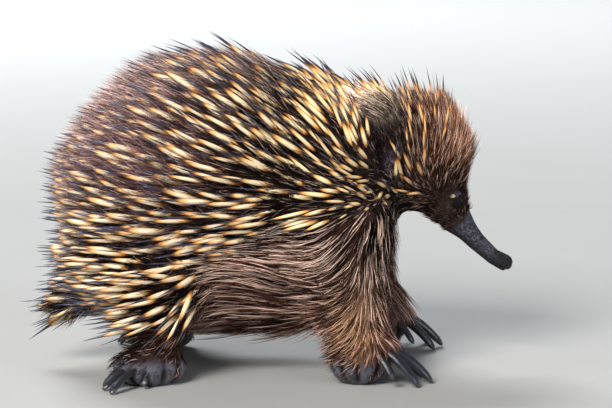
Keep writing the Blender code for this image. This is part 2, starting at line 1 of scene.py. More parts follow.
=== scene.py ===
"""Looks for the echidna: skin, spines, fur, claws and eyes worked out as arrays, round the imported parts.

Sizes are in millimetres in the animal's own frame, the one that its body was laid out in, and SHIFT takes
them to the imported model's place. It faces +X, its left side is +Y and up is +Z.
"""

import math

import bpy
import numpy as np
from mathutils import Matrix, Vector


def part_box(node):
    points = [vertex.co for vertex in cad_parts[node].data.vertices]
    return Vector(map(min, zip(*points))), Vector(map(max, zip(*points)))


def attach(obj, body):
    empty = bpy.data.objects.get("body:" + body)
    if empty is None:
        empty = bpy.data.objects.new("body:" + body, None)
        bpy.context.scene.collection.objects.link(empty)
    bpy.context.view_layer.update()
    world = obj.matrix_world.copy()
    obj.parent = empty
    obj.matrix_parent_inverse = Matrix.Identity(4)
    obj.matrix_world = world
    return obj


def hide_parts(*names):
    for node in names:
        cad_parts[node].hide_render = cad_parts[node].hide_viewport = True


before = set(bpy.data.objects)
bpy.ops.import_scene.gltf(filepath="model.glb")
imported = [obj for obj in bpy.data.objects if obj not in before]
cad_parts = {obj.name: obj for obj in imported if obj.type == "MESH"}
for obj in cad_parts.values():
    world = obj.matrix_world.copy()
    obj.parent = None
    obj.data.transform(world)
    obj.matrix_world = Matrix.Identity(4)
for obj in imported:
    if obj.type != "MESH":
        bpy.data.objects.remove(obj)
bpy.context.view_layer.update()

MM = 0.001
SHIFT = np.array((7.16, 0.0, 0.0))
SIDES = (-1, 1)  # right, left

# The body's form, as the solids have it: ellipsoids by centre and radii, limbs by points and radii
ELLIPSOIDS = (
    ((-78, 0, 130), (82, 86, 86)),
    ((-88, 0, 86), (70, 82, 46)),
    ((-38, 0, 146), (98, 86, 88)),
    ((28, 0, 142), (70, 72, 80)),
    ((-20, 0, 80), (92, 72, 55)),
    ((76, 0, 163), (36, 42, 46)),
    ((106, 0, 160), (34, 36, 41)),
)
FACE = (((110, 0, 148), 28), ((124, 0, 126), 18), ((133, 0, 114), 10.5))
BEAK = (((136, 0, 111), 8.4), ((150, 0, 95), 6.9), ((163, 0, 83), 5.9), ((171.5, 0, 78.5), 6.3))
TAIL = (((-132, 0, 68), 24), ((-158, 0, 48), 12))
FORE_LEG = (((48, 50, 112), 40), ((60, 61, 60), 23), ((62, 66, 24), 16.5))
FORE_PAW = ((61, 67, 14), (21, 19.5, 16), 28)
HIND_LEG = (((-80, 57, 68), 34), ((-84, 65, 28), 16.5))
HIND_PAW = ((-90, 69, 10.5), (26, 17, 12.5), 14)
LEFT_FORE_STEP = 14  # how far ahead of the right one the left fore foot is set
SMOOTH = 5.0  # how softly the forms run into each other

# The claws of a paw, from the inner side out: the turn outward in degrees, length and width
FORE_CLAWS = ((-52, 28, 6.5), (-24, 40, 9), (6, 44, 9.5), (36, 40, 9), (64, 28, 6.5))
HIND_CLAWS = ((88, 15, 5.5), (114, 38, 6.5), (138, 30, 6), (160, 22, 5.5), (182, 16, 5))
CLAW_SPREAD = 0.6  # the share of a toe's turn outward that its claw has
TOE_RADIUS = 6.2

MOST_TRIANGLES = 190000  # a coat zone of more is made as two pieces, one a side
FLOOR_GAP = 0.8  # the least height of a hair's path
HAIR_ROOT, HAIR_GAP = 1.2, 0.6  # how deep in the skin a hair starts, and how near the skin it may pass
SETTLE = 0.5  # the share by which a hair turns toward the lie at each step
HAIR_SIDES, SPINE_SIDES, CLAW_SIDES = 3, 6, 18
HAIR_PATCH, SPINE_PATCH = 0.003, 0.009  # how long a hair's and a spine's patch of the texture is
REACH = 32.0  # past this distance one form no longer swells another
SEED, SPINE_TRIES = 41, 17000

# How deep the coat lies over the skin: along, up, depth
COAT_DEPTH = (
    (-150, 130, 7), (-120, 190, 7), (-40, 236, 7), (-90, 120, 7), (-40, 110, 6), (-20, 50, 7), (30, 150, 6),
    (30, 215, 6), (76, 205, 6), (84, 168, 6), (112, 200, 4), (132, 180, 2.5), (139, 160, 1.5),
    (122, 145, 3), (137, 128, 1.2), (128, 118, 1.5), (136, 111, 0.4), (150, 95, 0), (172, 78, 0),
    (110, 120, 4), (62, 80, 6), (62, 50, 4.5), (62, 12, 0.5), (84, 10, 0), (-84, 45, 5), (-90, 10, 0.5),
    (-150, 50, 4),
)

# The lie of the coat: at (along, up) it points at this angle above ahead, seen from the animal's right side
LIE = (
    (-150, 160, 166), (-165, 100, 177), (-160, 55, 192), (-120, 200, 158), (-90, 222, 153), (-46, 238, 149),
    (0, 228, 145), (40, 220, 142), (70, 214, 138), (92, 208, 122), (112, 200, 106), (132, 185, 84),
    (99, 188, 110), (101, 168, 98), (98, 146, 112), (-60, 46, 182), (-122, 58, 184), (-92, 62, 186),
    (143, 165, 76), (126, 165, 80), (142, 145, 88), (128, 140, 100), (110, 126, 150), (140, 118, 125),
    (-100, 150, 162), (-100, 100, 173), (-100, 60, 190), (-40, 185, 152), (-40, 130, 163), (-40, 92, 177),
    (-40, 62, 184), (20, 170, 147), (36, 148, 152), (20, 114, 181), (40, 127, 187), (49, 120, 230),
    (60, 133, 212), (70, 143, 192), (58, 148, 172), (48, 160, 134), (66, 176, 112), (68, 122, 238),
    (-34, 84, 186), (-46, 74, 202), (-44, 56, 198), (-28, 62, 178), (-14, 90, 176), (-14, 70, 160),
    (-12, 46, 156), (4, 78, 154), (4, 58, 146), (6, 38, 142), (18, 70, 152), (20, 50, 144), (20, 32, 144),
    (12, 102, 182), (18, 88, 176), (32, 84, 186), (34, 62, 176), (34, 42, 172), (34, 26, 172),
    (49, 98, 212), (48, 76, 200), (48, 54, 196), (47, 36, 194), (46, 20, 190), (56, 98, 228), (56, 76, 214),
    (56, 54, 210), (56, 36, 210), (56, 18, 212), (64, 96, 266), (65, 74, 268), (65, 54, 270), (65, 36, 270),
    (65, 18, 272), (74, 96, 284), (76, 70, 300), (78, 48, 318), (74, 24, 292), (90, 84, 292), (92, 56, 325),
    (-84, 20, 220),
)

# The lower edge of the spines: along, up
SPINE_SKIRT = (
    (-170, 30), (-100, 37), (-60, 56), (-34, 76), (-4, 106), (18, 119), (42, 124), (60, 130), (86, 134),
)

# How far apart the spines stand: along, up, distance
SPINE_SPACING = (
    (-140, 150, 10.2), (-120, 190, 11.8), (-60, 220, 12.0), (0, 225, 9.8), (50, 210, 7.2), (76, 206, 6.0),
    (-100, 100, 8.0), (-100, 60, 7.2), (-40, 160, 8.6), (-40, 100, 7.8), (10, 120, 7.6), (30, 160, 8.2),
    (50, 125, 5.6), (66, 150, 6.0), (94, 165, 6.6), (112, 190, 7.4),
)
EAR_AT, EAR_SIZE = (84, 171), (11, 27)  # along and up, of the side view
EAR_HOLLOW, EAR_RIM = (9.0, 9.5, 25.0), 1.6
EYE_RADIUS = 4.5
NOSTRIL = ((172.5, 2.4, 84.9), (2.4, 1.0, 1.5))
MOUTH_AT, MOUTH_SLOPE, MOUTH_DEPTH = (165, 77.4), 30, 0.9
CREASE_DEPTH, CREASE_WIDTH = 2.6, 2.2

# Grid lines of the skin: bands of start, end and step
ALONG = ((-182, 108, 2.5), (108, 134, 1.4), (134, 182, 0.7))
ACROSS = ((-122, -30, 2.4), (-30, -9, 1.6), (-9, 9, 0.75), (9, 30, 1.6), (30, 122, 2.4))
UP = ((-6, 70, 2.2), (70, 118, 0.85), (118, 150, 1.5), (150, 256, 2.3))


# Arrays

def unit(vectors):
    return vectors / np.maximum(np.linalg.norm(vectors, axis=-1, keepdims=True), 1e-9)


def grid_lines(bands):
    """Each band cut into even steps of about its own size"""
    cut = [np.linspace(low, high, round((high - low) / step), endpoint=False) for low, high, step in bands]
    return np.concatenate(cut + [[bands[-1][1]]])


def guided(along, up, guides, blur=12.0):
    """A value at each (along, up): the mean of the guides, each weighted by one over its squared distance,
    squared"""
    total, weights = 0.0, 0.0
    for at, high, *value in guides:
        weight = ((along - at) ** 2 + (up - high) ** 2 + blur**2) ** -2.0
        total, weights = total + weight[..., None] * np.array(value, float), weights + weight
    return total / weights[..., None]


def smooth_step(values, low, high):
    share = np.clip((values - low) / (high - low), 0, 1)
    return share * share * (3 - 2 * share)


class Field:
    """Values at the crossings of the grid lines, read between them by the weights of the eight round a
    point"""

    def __init__(self, lines, values):
        self.lines, self.values = lines, values.astype(np.float32)
        self.slopes = np.stack(np.gradient(self.values, *[a.astype(np.float32) for a in lines]), axis=-1)

    def read(self, table, points):
        cells, shares = [], []
        for k, line in enumerate(self.lines):
            cell = np.clip(np.searchsorted(line, points[:, k]) - 1, 0, len(line) - 2)
            cells.append(cell)
            shares.append(np.clip((points[:, k] - line[cell]) / (line[cell + 1] - line[cell]), 0, 1))
        total = 0.0
        for corner in np.ndindex(2, 2, 2):
            weight = np.prod([s if c else 1 - s for s, c in zip(shares, corner)], axis=0)
            value = table[tuple(cell + c for cell, c in zip(cells, corner))]
            total = total + (weight[:, None] * value if value.ndim == 2 else weight * value)
        return total

    def at(self, points):
        return self.read(self.values, points)

    def slope(self, points):
        return self.read(self.slopes, points)

    def out(self, points):
        return unit(self.slope(points))


# The body's form

def mirrored(point, side):
    return np.array((point[0], point[1] * side, point[2]), float)


def fore_step(side):
    return np.array((LEFT_FORE_STEP if side > 0 else 0, 0, 0), float)


def toe_line(centre, radii, height, claws, number, side):
    """Where the knuckle of a paw's toe is, and where the claw on it starts and ends"""
    outward, length, _ = claws[number]
    middle = claws[len(claws) // 2][0]
    around, pointing = math.radians(outward), math.radians(middle + CLAW_SPREAD * (outward - middle))
    ahead = np.array((math.cos(around), math.sin(around) * side, 0))
    way = np.array((math.cos(pointing), math.sin(pointing) * side, 0))
    knuckle = centre + ahead * (0.56 / math.hypot(ahead[0] / radii[0], ahead[1] / radii[1]))
    knuckle[2] = height
    start = knuckle + way * 7 - np.array((0, 0, 1))
    drop = min(start[2] - 1, length * 0.7)
    return knuckle, start, start + way * math.sqrt(length**2 - drop**2) - np.array((0, 0, drop))


def paws():
    """Each paw's name, side, centre, radii, height of the toes and claws"""
    for side, word in zip(SIDES, ("right", "left")):
        fore, hind = mirrored(FORE_PAW[0], side) + fore_step(side), mirrored(HIND_PAW[0], side)
        yield "fore_claw_" + word, side, fore, *FORE_PAW[1:], FORE_CLAWS
        yield "hind_claw_" + word, side, hind, *HIND_PAW[1:], HIND_CLAWS


def body_limbs():
    yield from (FACE, BEAK, TAIL)
    for side in SIDES:
        shares = (0.3, 0.7, 1.0)
        yield tuple((mirrored(p, side) + fore_step(side) * s, r) for (p, r), s in zip(FORE_LEG, shares))
        yield tuple((mirrored(p, side), r) for p, r in HIND_LEG)
    for _, side, centre, radii, height, claws in paws():
        for number in range(len(claws)):
            knuckle, start, _ = toe_line(centre, radii, height, claws, number, side)
            yield (knuckle, TOE_RADIUS), (start, TOE_RADIUS * 0.8)


def ball_distance(spot, centre, radii):
    """Near distance to an ellipsoid: the scaled length, less one, times itself over the slope of that
    length"""
    scaled = [(s - c) / r for s, c, r in zip(spot, centre, radii)]
    length = np.sqrt(sum(s * s for s in scaled))
    slope = np.sqrt(sum((s / r) ** 2 for s, r in zip(scaled, radii)))
    return length * (length - 1) / np.maximum(slope, 1e-9)


def limb_distance(spot, path):
    """Distance to a chain of balls whose radius changes evenly from each point of the path to the next"""
    nearest = np.inf
    for (start, first), (end, last) in zip(path, path[1:]):
        along = np.array(end, float) - np.array(start, float)
        share = sum((s - a) * b for s, a, b in zip(spot, start, along)) / (along @ along)
        share = np.clip(share, 0, 1)
        away = np.sqrt(sum((s - a - share * b) ** 2 for s, a, b in zip(spot, start, along)))
        nearest = np.minimum(nearest, away - first - share * (last - first))
    return nearest


def body_values(lines):
    """Distance to the body on the whole grid: minus the log of the sum of each form's falling exponential"""
    forms = [(np.array(c, float) - r, np.array(c, float) + r, ball_distance, (c, r)) for c, r in ELLIPSOIDS]
    for _, _, centre, radii, _, _ in paws():
        forms.append((centre - radii, centre + np.array(radii), ball_distance, (centre, radii)))
    for path in body_limbs():
        low = np.min([np.array(p, float) - r for p, r in path], axis=0)
        high = np.max([np.array(p, float) + r for p, r in path], axis=0)
        forms.append((low, high, limb_distance, (path,)))
    swell = np.zeros([len(line) for line in lines])
    for low, high, distance, facts in forms:
        block = tuple(
            slice(*np.searchsorted(line, (a - REACH, b + REACH))) for line, a, b in zip(lines, low, high)
        )
        spot = np.ix_(*(line[part] for line, part in zip(lines, block)))
        swell[block] += np.exp(-distance(spot, *facts) / SMOOTH)
    return -SMOOTH * np.log(swell + 1e-30)


def side_surface(field, along, up, side):
    """Where a line from the animal's side meets the surface at this place, and the way out there"""
    across = np.linspace(0, 118, 600)
    points = np.stack([np.full(600, along), across * side, np.full(600, up)], axis=1)
    inside = np.nonzero(field.at(points) < 0)[0]
    return points[inside[-1]], field.out(points[inside[-1:]])[0]


def cut_surface(lines, values):
    """Surface nets: each cell that the surface crosses has one corner, the mean of where it crosses the
    cell's edges, and each crossed edge has a four-sided face between the corners of the four cells round
    it"""
    shape = np.array(values.shape) - 1
    sums, counts, faces = np.zeros((shape.prod(), 3)), np.zeros(shape.prod()), []
    for axis in range(3):
        first = [slice(None)] * 3
        second = [slice(None)] * 3
        first[axis], second[axis] = slice(0, -1), slice(1, None)
        here, there = values[tuple(first)], values[tuple(second)]
        cell = np.stack(np.nonzero((here < 0) != (there < 0)), axis=1)
        start, end = here[tuple(cell.T)], there[tuple(cell.T)]
        point = np.stack([line[cell[:, k]] for k, line in enumerate(lines)], axis=1)
        line = lines[axis]
        point[:, axis] += (line[cell[:, axis] + 1] - line[cell[:, axis]]) * start / (start - end)
        one, two = (axis + 1) % 3, (axis + 2) % 3
        ring = []
        for back_one, back_two in ((1, 1), (0, 1), (0, 0), (1, 0)):
            around = cell.copy()
            around[:, one] -= back_one
            around[:, two] -= back_two
            index = np.ravel_multi_index(np.clip(around, 0, shape - 1).T, shape)
            for k in range(3):
                sums[:, k] += np.bincount(index, point[:, k], len(sums))
            counts += np.bincount(index, minlength=len(counts))
            ring.append(index)
        ring = np.stack(ring, axis=1)
        ring[start > 0] = ring[start > 0][:, ::-1]
        faces.append(ring)
    used = counts > 0
    number = np.cumsum(used) - 1
    return sums[used] / counts[used, None], number[np.concatenate(faces)]


# Meshes

def make_piece(name, points, faces, finish, patches=None, **facts):
    """A mesh object of these corners and faces, in metres and in place, with a value for each corner in
    each fact"""
    mesh = bpy.data.meshes.new(name)
    mesh.vertices.add(len(points))
    mesh.vertices.foreach_set("co", ((points + SHIFT) * MM).astype(np.float32).ravel())
    totals = np.concatenate([np.full(len(part), part.shape[1]) for part in faces])
    corners = np.concatenate([part.ravel() for part in faces]).astype(np.int32)
    mesh.loops.add(len(corners))
    mesh.loops.foreach_set("vertex_index", corners)
    mesh.polygons.add(len(totals))
    mesh.polygons.foreach_set("loop_start", (np.cumsum(totals) - totals).astype(np.int32))
    mesh.polygons.foreach_set("use_smooth", np.full(len(totals), True))
    mesh.update(calc_edges=True)
    for fact, values in facts.items():
        wide = values.ndim == 2
        layer = mesh.attributes.new(fact, "FLOAT_VECTOR" if wide else "FLOAT", "POINT")
        layer.data.foreach_set("vector" if wide else "value", values.astype(np.float32).ravel())
    if patches is not None:
        layer = mesh.uv_layers.new(name="OFBake")
        layer.data.foreach_set("uv", patches[corners].astype(np.float32).ravel())
    mesh.materials.append(finish)
    piece = bpy.data.objects.new(name, mesh)
    bpy.context.scene.collection.objects.link(piece)
    return piece


def ring_walls(around, rings):
    """Four-sided faces from each ring of this many corners to the next"""
    k = np.arange(around)
    n = (k + 1) % around
    between = np.stack([k, k + around, n + around, n], axis=1)
    return np.concatenate([between + around * ring for ring in range(rings - 1)])


def swept(paths, sides, ups, wide, deep, sections):
    """Closed horns: at each station of a path but the last, an ellipse wide along its side and deep along
    its up, joined to the next by four-sided faces, with a cap on the first and the last station as the
    tip"""
    count, stations = paths.shape[:2]
    turns = 2 * np.pi * (np.arange(sections) / sections + 0.25)
    rings = (
        paths[:, :-1, None]
        + (wide[:, :-1, None] * np.cos(turns))[..., None] * sides[:, :-1, None]
        + (deep[:, :-1, None] * np.sin(turns))[..., None] * ups[:, :-1, None]
    )
    each = (stations - 1) * sections + 1
    points = np.concatenate([rings.reshape(count, -1, 3), paths[:, -1:]], axis=1).reshape(-1, 3)
    k = np.arange(sections)
    n = (k + 1) % sections
    lower = np.arange(stations - 2)[:, None] * sections
    walls = np.stack([lower + k, lower + n, lower + n + sections, lower + k + sections], axis=-1)
    walls = walls.reshape(-1, 4)
    last = (stations - 2) * sections
    tips = np.stack([last + k, last + n, np.full(sections, each - 1)], axis=1)
    starts = np.arange(count)[:, None, None] * each
    parts = [(starts + part).reshape(-1, part.shape[1]) for part in (walls, tips, k[None, ::-1])]
    return points, parts, each


# Coat

def lie_at(points):
    turns = np.radians(np.array(LIE)[:, 2])
    guides = [(along, up, math.cos(t), math.sin(t)) for (along, up, _), t in zip(LIE, turns)]
    flat = guided(points[:, 0], points[:, 2], guides, 9.0)
    return unit(np.stack([flat[:, 0], np.zeros(len(points)), flat[:, 1]], axis=1))


def lie_on(points, normals):
    """The lie of the coat laid onto the skin. Where it would stand straight out, it falls down and outward"""
    way = lie_at(points)
    way -= normals * (way * normals).sum(axis=1, keepdims=True)
    down = np.full(len(points), -0.9)
    fallen = np.stack([np.zeros(len(points)), np.sign(points[:, 1]) * 0.45, down], axis=1)
    fallen -= normals * (fallen * normals).sum(axis=1, keepdims=True)
    short = np.maximum(0, 0.75 - np.linalg.norm(way, axis=1, keepdims=True))
    return unit(way + fallen * short)


def scattered(points, faces, density, rng, count):
    """Roots over the skin: even steps along the running total of each face's area times its density, each
    put at random on its face"""
    middle = points[faces].mean(axis=1)
    across = np.cross(points[faces[:, 2]] - points[faces[:, 0]], points[faces[:, 3]] - points[faces[:, 1]])
    weight = np.linalg.norm(across, axis=1) * density(middle)
    running = np.cumsum(weight)
    steps = (np.arange(count) + rng.random(count)) / count * running[-1]
    chosen = faces[np.minimum(np.searchsorted(running, steps), len(faces) - 1)]
    a, b = rng.random((2, count, 1))
    corner = points[chosen]
    near = corner[:, 0] * (1 - a) + corner[:, 1] * a
    far = corner[:, 3] * (1 - a) + corner[:, 2] * a
    return near * (1 - b) + far * b


def thinned(points, spacing):
    """Keeps points in their order and drops each that has a kept one nearer than the mean of their
    spacings. A point is settled once no unsettled one before it is near"""
    near = []
    for start in range(0, len(points), 400):
        block = points[start:start + 400]
        apart = np.linalg.norm(block[:, None] - points[None], axis=2)
        limit = (spacing[start:start + 400, None] + spacing[None]) / 2
        first, second = np.nonzero(apart < limit)
        near.append(np.stack([first + start, second], axis=1)[first + start < second])
    first, second = np.concatenate(near).T
    kept, dropped = np.zeros(len(points), bool), np.zeros(len(points), bool)
    while not (kept | dropped).all():
        open_pair = ~(kept | dropped)[first] & ~(kept | dropped)[second]
        waiting = np.zeros(len(points), bool)
        waiting[second[open_pair]] = True
        kept |= ~(kept | dropped | waiting)
        dropped[second[kept[first]]] = True
        kept &= ~dropped
    return kept


def unwrapped(points):
    """The skin laid flat: along the body and round its axis, with the legs on strips of their own"""
    x, y, z = points.T
    middle = np.interp(x, (-160, -110, -40, 40, 90, 120, 150), (62, 110, 120, 120, 160, 140, 95))
    around = np.arctan2(y, z - middle) / (2 * np.pi)
    flat = np.stack([0.02 + 0.96 * (x + 180) / 362, 0.5 + 0.7 * around], axis=1)
    for side in SIDES:
        for k, (along, across) in enumerate(((62 + (side > 0) * 12, 66), (-84, 66))):
            on_leg = (z < 66) & (np.hypot(x - along, y - side * across) < 44)
            turn = np.arctan2(y - side * across, x - along) / (2 * np.pi)
            strip = np.stack([0.25 + 0.5 * k + 0.44 * turn, 0.5 + side * (0.37 + 0.115 * z / 66)], axis=1)
            flat[on_leg] = strip[on_leg]
    return flat


def turned(ways, normals, points, degrees):
    """The ways turned in the skin by this angle, from ahead toward up on both sides of the animal"""
    angle = -np.radians(degrees) * np.sign(points[:, 1:2])
    return ways * np.cos(angle) + np.cross(normals, ways) * np.sin(angle)


def standing(heading, points, normals):
    """The heading turned toward the lie itself where that points out of the skin, as at the rear and on the
    crown"""
    lie = lie_at(points)
    share = smooth_step((lie * normals).sum(axis=1, keepdims=True), 0.35, 0.85)
    return unit(heading * (1 - share) + lie * share), share


def lead_paths(base, roots, length, lift, steps, turn=0.0):
    """Paths over the skin: each starts in it, leaves it at the angle lift, and at every step turns by a
    share toward the lie of the coat there, never closer to the skin than a little"""
    normals = base.out(roots)
    ways = turned(lie_on(roots, normals), normals, roots, turn)
    at = roots - normals * HAIR_ROOT
    heading = ways * np.cos(lift)[:, None] + normals * np.sin(lift)[:, None]
    heading, stands = standing(heading, roots, normals)
    settle = SETTLE * (1 - 0.8 * stands)
    paths, sides, ups = [at], [np.cross(normals, ways)], [normals]
    for step in range(steps):
        at = at + heading * (length / steps)[:, None]
        normals = base.out(at)
        low = np.maximum(HAIR_GAP - base.at(at), 0)
        at = at + normals * low[:, None]
        ways = turned(lie_on(at, normals), normals, at, turn)
        rise = lift * (0.45 - 0.6 * (step + 1) / steps)
        wanted = ways * np.cos(rise)[:, None] + normals * np.sin(rise)[:, None]
        heading = unit(heading * (1 - settle) + wanted * settle)
        paths.append(at)
        sides.append(unit(np.cross(normals, heading)))
        ups.append(unit(np.cross(heading, sides[-1])))
    return [np.stack(part, axis=1) for part in (paths, sides, ups)]


def grow_tufts(
    name, base, roots, rng, finish, length, radius, lift, hairs, steps, spread, clump, wave,
    turn=0.0, stray=0.10, shorter=None
):
    """Tufts of hairs: each hair follows its tuft's path, beside it by an offset that shrinks by the share
    clump toward the tip, with a wave across it that grows along its length"""
    lengths = length * rng.uniform(0.72, 1.18, len(roots)) * (1.0 if shorter is None else shorter(roots))
    lifts = np.radians(rng.normal(lift, lift * 0.25, len(roots)))
    paths, sides, ups = lead_paths(base, roots, lengths, lifts, steps, turn)
    share = np.arange(steps + 1) / steps
    tufts = np.repeat(np.arange(len(roots)), hairs)
    count = len(tufts)
    path, side, up = paths[tufts], sides[tufts], ups[tufts]
    beside, above, back = rng.normal(0, 1, (3, count, 1)) * spread
    reach = rng.uniform(0.7, 1.12, (count, 1, 1))
    path = path[:, :1] + (path - path[:, :1]) * reach
    away = 1 - clump * share
    pace, phase = rng.uniform(4, 7, (len(roots), 1))[tufts], rng.uniform(0, 6.3, (len(roots), 1))[tufts]
    bend = wave * share**1.3 * np.sin(pace * share + phase + rng.normal(0, 0.35, (count, 1)))
    stray = rng.normal(0, stray, (count, 1)) * lengths[tufts][:, None] * share**1.5
    height = above * 0.35 * share + rng.normal(0, 0.035, (count, 1)) * lengths[tufts][:, None] * share
    path = path + side * (beside * away + bend + stray)[..., None] + up * height[..., None]
    shift = back * away / lengths[tufts][:, None] * steps
    path = path + (path[:, 1:2] - path[:, :1]) * shift[..., None] * 0.6
    path[..., 2] = np.maximum(path[..., 2], FLOOR_GAP)
    thick = radius * rng.uniform(0.75, 1.25, (count, 1)) * np.interp(share, (0, 0.35, 1), (0.8, 1.0, 0.25))
    points, faces, each = swept(path, side, up, thick, thick, HAIR_SIDES)
    rootward = np.repeat(roots[tufts], each, axis=0) * MM
    along = np.tile(np.append(np.repeat(share[:-1], HAIR_SIDES), 1.0), count)
    chance = np.repeat(rng.random(count), each)
    place = (np.arange(count) % hairs / hairs - 0.5) * HAIR_PATCH
    flat = unwrapped(roots)[tufts] + np.stack([place, np.zeros(count)], 1)
    column = np.tile(np.append(np.tile(np.arange(HAIR_SIDES), steps), 1), count) * 0.1 * HAIR_PATCH
    patches = np.repeat(flat, each, axis=0) + np.stack([column, (along - 0.5) * HAIR_PATCH], axis=1)
    return make_piece(name, points, faces, finish, patches=patches, root=rootward, along=along, chance=chance)


def grow_spines(name, base, roots, rng, finish, length, radius, lift):
    """Spines: nearly straight horns, thickest a third of the way out and drawn to a long thin point"""
    count = len(roots)
    normals = base.out(roots)
    ways = lie_on(roots, normals)
    sideways = np.cross(normals, ways)
    turn = np.radians(rng.normal(0, 4.5, count))[:, None]
    ways = ways * np.cos(turn) + sideways * np.sin(turn)
    sideways = np.cross(normals, ways)
    share = np.array((0, 0.14, 0.28, 0.42, 0.54, 0.64, 0.80, 1.0))
    thick = np.array((0.42, 0.76, 1.0, 0.97, 0.78, 0.45, 0.27, 0.0))
    heading = ways * np.cos(lift)[:, None] + normals * np.sin(lift)[:, None]
    heading, stands = standing(heading, roots, normals)
    length = length * (1 - 0.18 * stands[:, 0])
    sideways = unit(np.cross(normals + heading * 0.01, heading) + sideways * 0.3)
    bow = rng.normal(-0.02, 0.015, (count, 1)) * length[:, None] * (2 * share - 1) ** 2
    side_bow = rng.normal(0, 0.012, (count, 1)) * length[:, None] * share**2
    start = roots - normals * 3 - ways * 2
    length = np.minimum(length, 6 + np.maximum(0, start[:, 2] - 4) / np.maximum(0.05, -heading[:, 2]))
    path = start[:, None] + heading[:, None] * (length[:, None] * share)[..., None]
    path = path + normals[:, None] * bow[..., None] + sideways[:, None] * side_bow[..., None]
    stations = len(share)
    side = np.repeat(sideways[:, None], stations, axis=1)
    up = np.repeat(np.cross(heading, sideways)[:, None], stations, axis=1)
    widths = radius[:, None] * thick
    points, faces, each = swept(path, side, up, widths, widths, SPINE_SIDES)
    along = np.tile(np.append(np.repeat(share[:-1], SPINE_SIDES), 1.0), count)
    chance = np.repeat(rng.random(count), each)
    flat = np.repeat(unwrapped(roots), each, axis=0)
    column = np.tile(np.append(np.tile(np.arange(SPINE_SIDES) / SPINE_SIDES, stations - 1), 0.5), count)
    patches = flat + np.stack([(column - 0.5) * HAIR_PATCH, (along - 0.5) * SPINE_PATCH], axis=1)
    rootward = np.repeat(roots, each, axis=0) * MM
    return make_piece(name, points, faces, finish, patches=patches, root=rootward, along=along, chance=chance)


# Finishes

class Wire:
    """An output of a node, on which arithmetic adds Math nodes"""

    def __init__(self, finish, socket):
        self.finish, self.socket = finish, socket

    def math(self, operation, *values):
        return self.finish.node("ShaderNodeMath", {"operation": operation}, dict(enumerate(values)))

    def __add__(self, other):
        return self.math("ADD", self, other)

    def __sub__(self, other):
        return self.math("SUBTRACT", self, other)

    def __rsub__(self, other):
        return self.math("SUBTRACT", other, self)

    def __mul__(self, other):
        return self.math("MULTIPLY", self, other)

    def __truediv__(self, other):
        return self.math("DIVIDE", self, other)

    def __pow__(self, other):
        return self.math("POWER", self, other)

    __radd__, __rmul__ = __add__, __mul__


class Finish:
    """A material's nodes. The method node adds any node; the others are the few that every finish here
    uses"""

    def __init__(self, name, **constants):
        self.material = bpy.data.materials.new(name)
        self.material.use_nodes = True
        self.tree = self.material.node_tree
        self.shader = self.tree.nodes["Principled BSDF"]
        for socket, value in constants.items():
            self.shader.inputs[socket.replace("_", " ")].default_value = value

    def node(self, kind, settings=None, sockets=None, output=0):
        made = self.tree.nodes.new(kind)
        for key, value in (settings or {}).items():
            if key == "stops":
                ramp = made.color_ramp.elements
                while len(ramp) < len(value):
                    ramp.new(0.5)
                for stop, (place, colour) in zip(ramp, value):
                    stop.position, stop.color = place, (*colour, 1)
            else:
                setattr(made, key, value)
        for socket, value in (sockets or {}).items():
            if isinstance(value, Wire):
                self.tree.links.new(value.socket, made.inputs[socket])
            elif isinstance(value, tuple) and len(value) == 3 and made.inputs[socket].type == "RGBA":
                made.inputs[socket].default_value = (*value, 1)
            else:
                made.inputs[socket].default_value = value
        return Wire(self, made.outputs[output])

    def fact(self, name):
        output = "Vector" if name == "root" else "Fac"
        return self.node("ShaderNodeAttribute", {"attribute_name": name}, output=output)

    def vector(self, operation, *values, output=0):
        return self.node("ShaderNodeVectorMath", {"operation": operation}, dict(enumerate(values)), output)

    def spot(self):
        """Where a point of the piece is, in the animal's own frame, in metres"""
        place = self.node("ShaderNodeTexCoord", output="Object")
        return self.vector("SUBTRACT", place, tuple(float(s) * MM for s in SHIFT))

    def axes(self, spot):
        """The three numbers of a place, in millimetres"""
        return [self.node("ShaderNodeSeparateXYZ", None, {0: spot}, k) * 1000 for k in range(3)]

    def noise(self, spot, scale, detail=2.0, roughness=0.5):
        sockets = {"Vector": spot, "Scale": scale, "Detail": detail, "Roughness": roughness}
        return self.node("ShaderNodeTexNoise", None, sockets)

    def step(self, value, low, high):
        sockets = {"Value": value, "From Min": low, "From Max": high}
        return self.node("ShaderNodeMapRange", {"interpolation_type": "SMOOTHSTEP"}, sockets)

    def blend(self, share, one, two, kind="MIX"):
        settings = {"data_type": "RGBA", "blend_type": kind}
        return self.node("ShaderNodeMix", settings, {"Factor": share, 6: one, 7: two}, output=2)

    def marked(self, colour, marks):
        """Each mark's colour laid over the ones before it by the mark's share"""
        for share, tone in marks.values():
            colour = self.blend(share, colour, tone)
        return colour

    def ramp(self, value, *stops):
        return self.node("ShaderNodeValToRGB", {"stops": stops}, {"Fac": value})

    def feed(self, **wires):
        for socket, wire in wires.items():
            self.tree.links.new(wire.socket, self.shader.inputs[socket.replace("_", " ")])

    def bump(self, height, strength, distance):
        """Height in metres times distance, as the shading normal"""
        sockets = {"Height": height, "Strength": strength, "Distance": distance}
        self.feed(Normal=self.node("ShaderNodeBump", None, sockets))


def near(finish, axes, along, up, size, across=None, tall=1.0):
    """1 at this place seen from the side, or on each side at across from the middle, falling to 0 at size
    away"""
    squares = (axes[0] - along) ** 2 + ((axes[2] - up) / tall) ** 2
    if across is not None:
        squares = squares + (axes[1].math("ABSOLUTE", axes[1]) - across) ** 2
    return 1 - finish.step(squares ** 0.5, 0.0, size)


